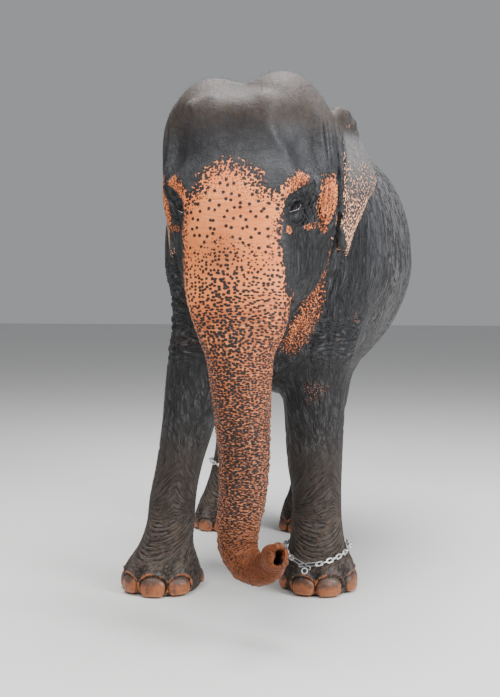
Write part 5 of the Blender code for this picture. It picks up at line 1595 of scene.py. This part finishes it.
def build_bristles(skin, coat):
    """Bristles on the crown, the back and the chin, and the lashes."""
    co = read(skin.data.vertices, "co", 3)
    normal = read(skin.data.vertices, "normal", 3)
    p = co + SHIFT
    h, z = head_frame(p), p[:, 2]
    number = np.arange(len(p))
    lots = hashed(number, number * 0 + 7, number * 0, 5)
    bald = bump(h[:, 1], 0.06, 0.12) * (z < 2.30)
    chance = 0.020 * bump(z, 2.30, 2.50) * (h[:, 1] > -0.45)
    chance = np.maximum(chance, 0.018 * bump(normal[:, 2], 0.55, 0.9) * (p[:, 1] > -0.9) * (z > 1.9))
    chin = (z > 1.30) & (z < 1.50) & (np.abs(h[:, 0]) < 0.16) & (h[:, 1] > -0.05) & (h[:, 1] < 0.16)
    chance = np.maximum(chance * (1 - bald), 0.050 * chin)
    chosen = np.flatnonzero(lots < chance)[:MOST_BRISTLES]
    work = hair_work()
    spin = hashed(chosen, chosen * 0 + 3, chosen * 0, 11) * 2 * math.pi
    size = hashed(chosen, chosen * 0 + 5, chosen * 0, 13)
    for k, turn, long in zip(chosen.tolist(), spin.tolist(), size.tolist()):
        root, up = Vector(co[k]), Vector(normal[k])
        low = z[k] < 1.7
        length = (0.010 + 0.018 * long) * (1.8 if low else 1.0)
        lie = Vector((0.35 * math.cos(turn), 0.35 * math.sin(turn), 0.0))
        lie += Vector((0, 0.1, -0.9) if low else (0, 0.55, 0))
        way = (up * 0.75 + lie * 0.6).normalized()
        tip = (way + lie * 0.35).normalized()
        points = [root - up * 0.002, root + way * length * 0.5,
                  root + way * length * 0.55 + tip * length * 0.45]
        tube(work, points, [0.00040, 0.00034, 0.00010], 3, patch=unwrapped(root))
    for side in (-1, 1):  # lashes
        out = (eye_point(side, 0, 0, 1) - eye_point(side, 0, 0, 0)).normalized()
        for k in range(LASHES):
            u = -0.020 + 0.040 * k / (LASHES - 1)
            root = lid_edge(side, u, 1, 0.001)
            tip = root + out * 0.017 + Vector((0, -0.3 * u, -0.012 - 0.003 * math.sin(5 * k)))
            points = [root, root + out * 0.010 + Vector((0, 0, -0.002)), tip]
            tube(work, points, [0.0006, 0.0005, 0.00015], 3, patch=unwrapped(root))
    piece("bristles", work, "hair", coat)


def build_tail_brush(coat):
    """The long hairs round the end of the tail."""
    work = hair_work()
    for k in range(BRUSH_HAIRS):
        one, two, three = (float(v) for v in hashed(np.full(3, k), np.arange(1, 4), np.zeros(3), 19))
        x, y, z, radius = eased(TAIL, TAIL[-1][0] - 0.20 * one**1.4)
        turn = 2 * math.pi * two
        aside = Vector((math.cos(turn), math.sin(turn), 0.0))
        root = Vector((x, y, z)) + aside * radius * 0.8 - Vector((*MIDDLE, 0.0))
        length = 0.085 + 0.105 * three
        spread = 0.010 + 0.022 * two * one
        points = [root + Vector((0, 0, -length * f)) + aside * spread * math.sin(f * 2.2)
                  + Vector((0.004 * math.sin(9 * f + k), 0.004 * math.cos(7 * f + k), 0)) * f
                  for f in (0, 0.25, 0.5, 0.75, 1)]
        tube(work, points, [0.0011, 0.0010, 0.0009, 0.0006, 0.0002], 4,
             patch=(0.05 + 0.9 * turn / 6.2832, 0.1 + 0.8 * one))
    piece("tail_brush", work, "hair", coat, "tail_tuft")


# ---------------------------------------------------------------- camera, floor, light
def build_camera():
    data = bpy.data.cameras.new("camera")
    data.lens, data.sensor_width = LENS, SENSOR
    camera = placed("camera", data)
    camera.location = Vector(CAMERA_PLACE) - Vector((*MIDDLE, 0.0))
    camera.rotation_euler = (math.radians(90) - CAMERA_DOWN, 0.0, CAMERA_TURN)
    bpy.context.scene.camera = camera


def build_stage():
    """The floor, the sky and the lamps."""
    mesh = bpy.data.meshes.new("floor")
    mesh.from_pydata([(-40, -40, 0), (40, -40, 0), (40, 40, 0), (-40, 40, 0)], [], [(0, 1, 2, 3)])
    m = Nodes("floor")
    m.shade(Base_Color=(0.72, 0.71, 0.69, 1), Roughness=0.8)
    mesh.materials.append(m.mat)
    floor = placed("floor", mesh)
    world = bpy.data.worlds.new("world")
    bpy.context.scene.world = world
    world.use_nodes = True
    sky = world.node_tree.nodes["Background"].inputs
    sky[0].default_value, sky[1].default_value = (0.86, 0.88, 0.92, 1), 0.38
    for name, place, size, power, colour in LAMPS:
        data = bpy.data.lights.new(name, "AREA")
        data.size, data.energy, data.color = size, power, colour
        lamp = placed(name, data)
        lamp.location = place
        lamp.rotation_euler = (Vector(LAMP_AIM) - Vector(place)).to_track_quat("-Z", "Y").to_euler()


def build():
    skin = build_skin()
    skin.data.materials.append(skin_material())
    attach(skin, "root")
    flesh = [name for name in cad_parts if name.startswith(
        ("torso", "neck", "head", "lower_", "trunk_", "ear_", "upper_leg", "foot_"))]
    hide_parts(*flesh, "tail")
    build_eyes()
    build_nails()
    build_chains()
    coat = cloudy_material("bristle", (60.0, 60.0, 12.0), (0.010, 0.008, 0.007, 1),
                           (0.045, 0.032, 0.025, 1), 0.42)
    build_bristles(skin, coat)
    build_tail_brush(coat)
    build_camera()
    build_stage()


build()
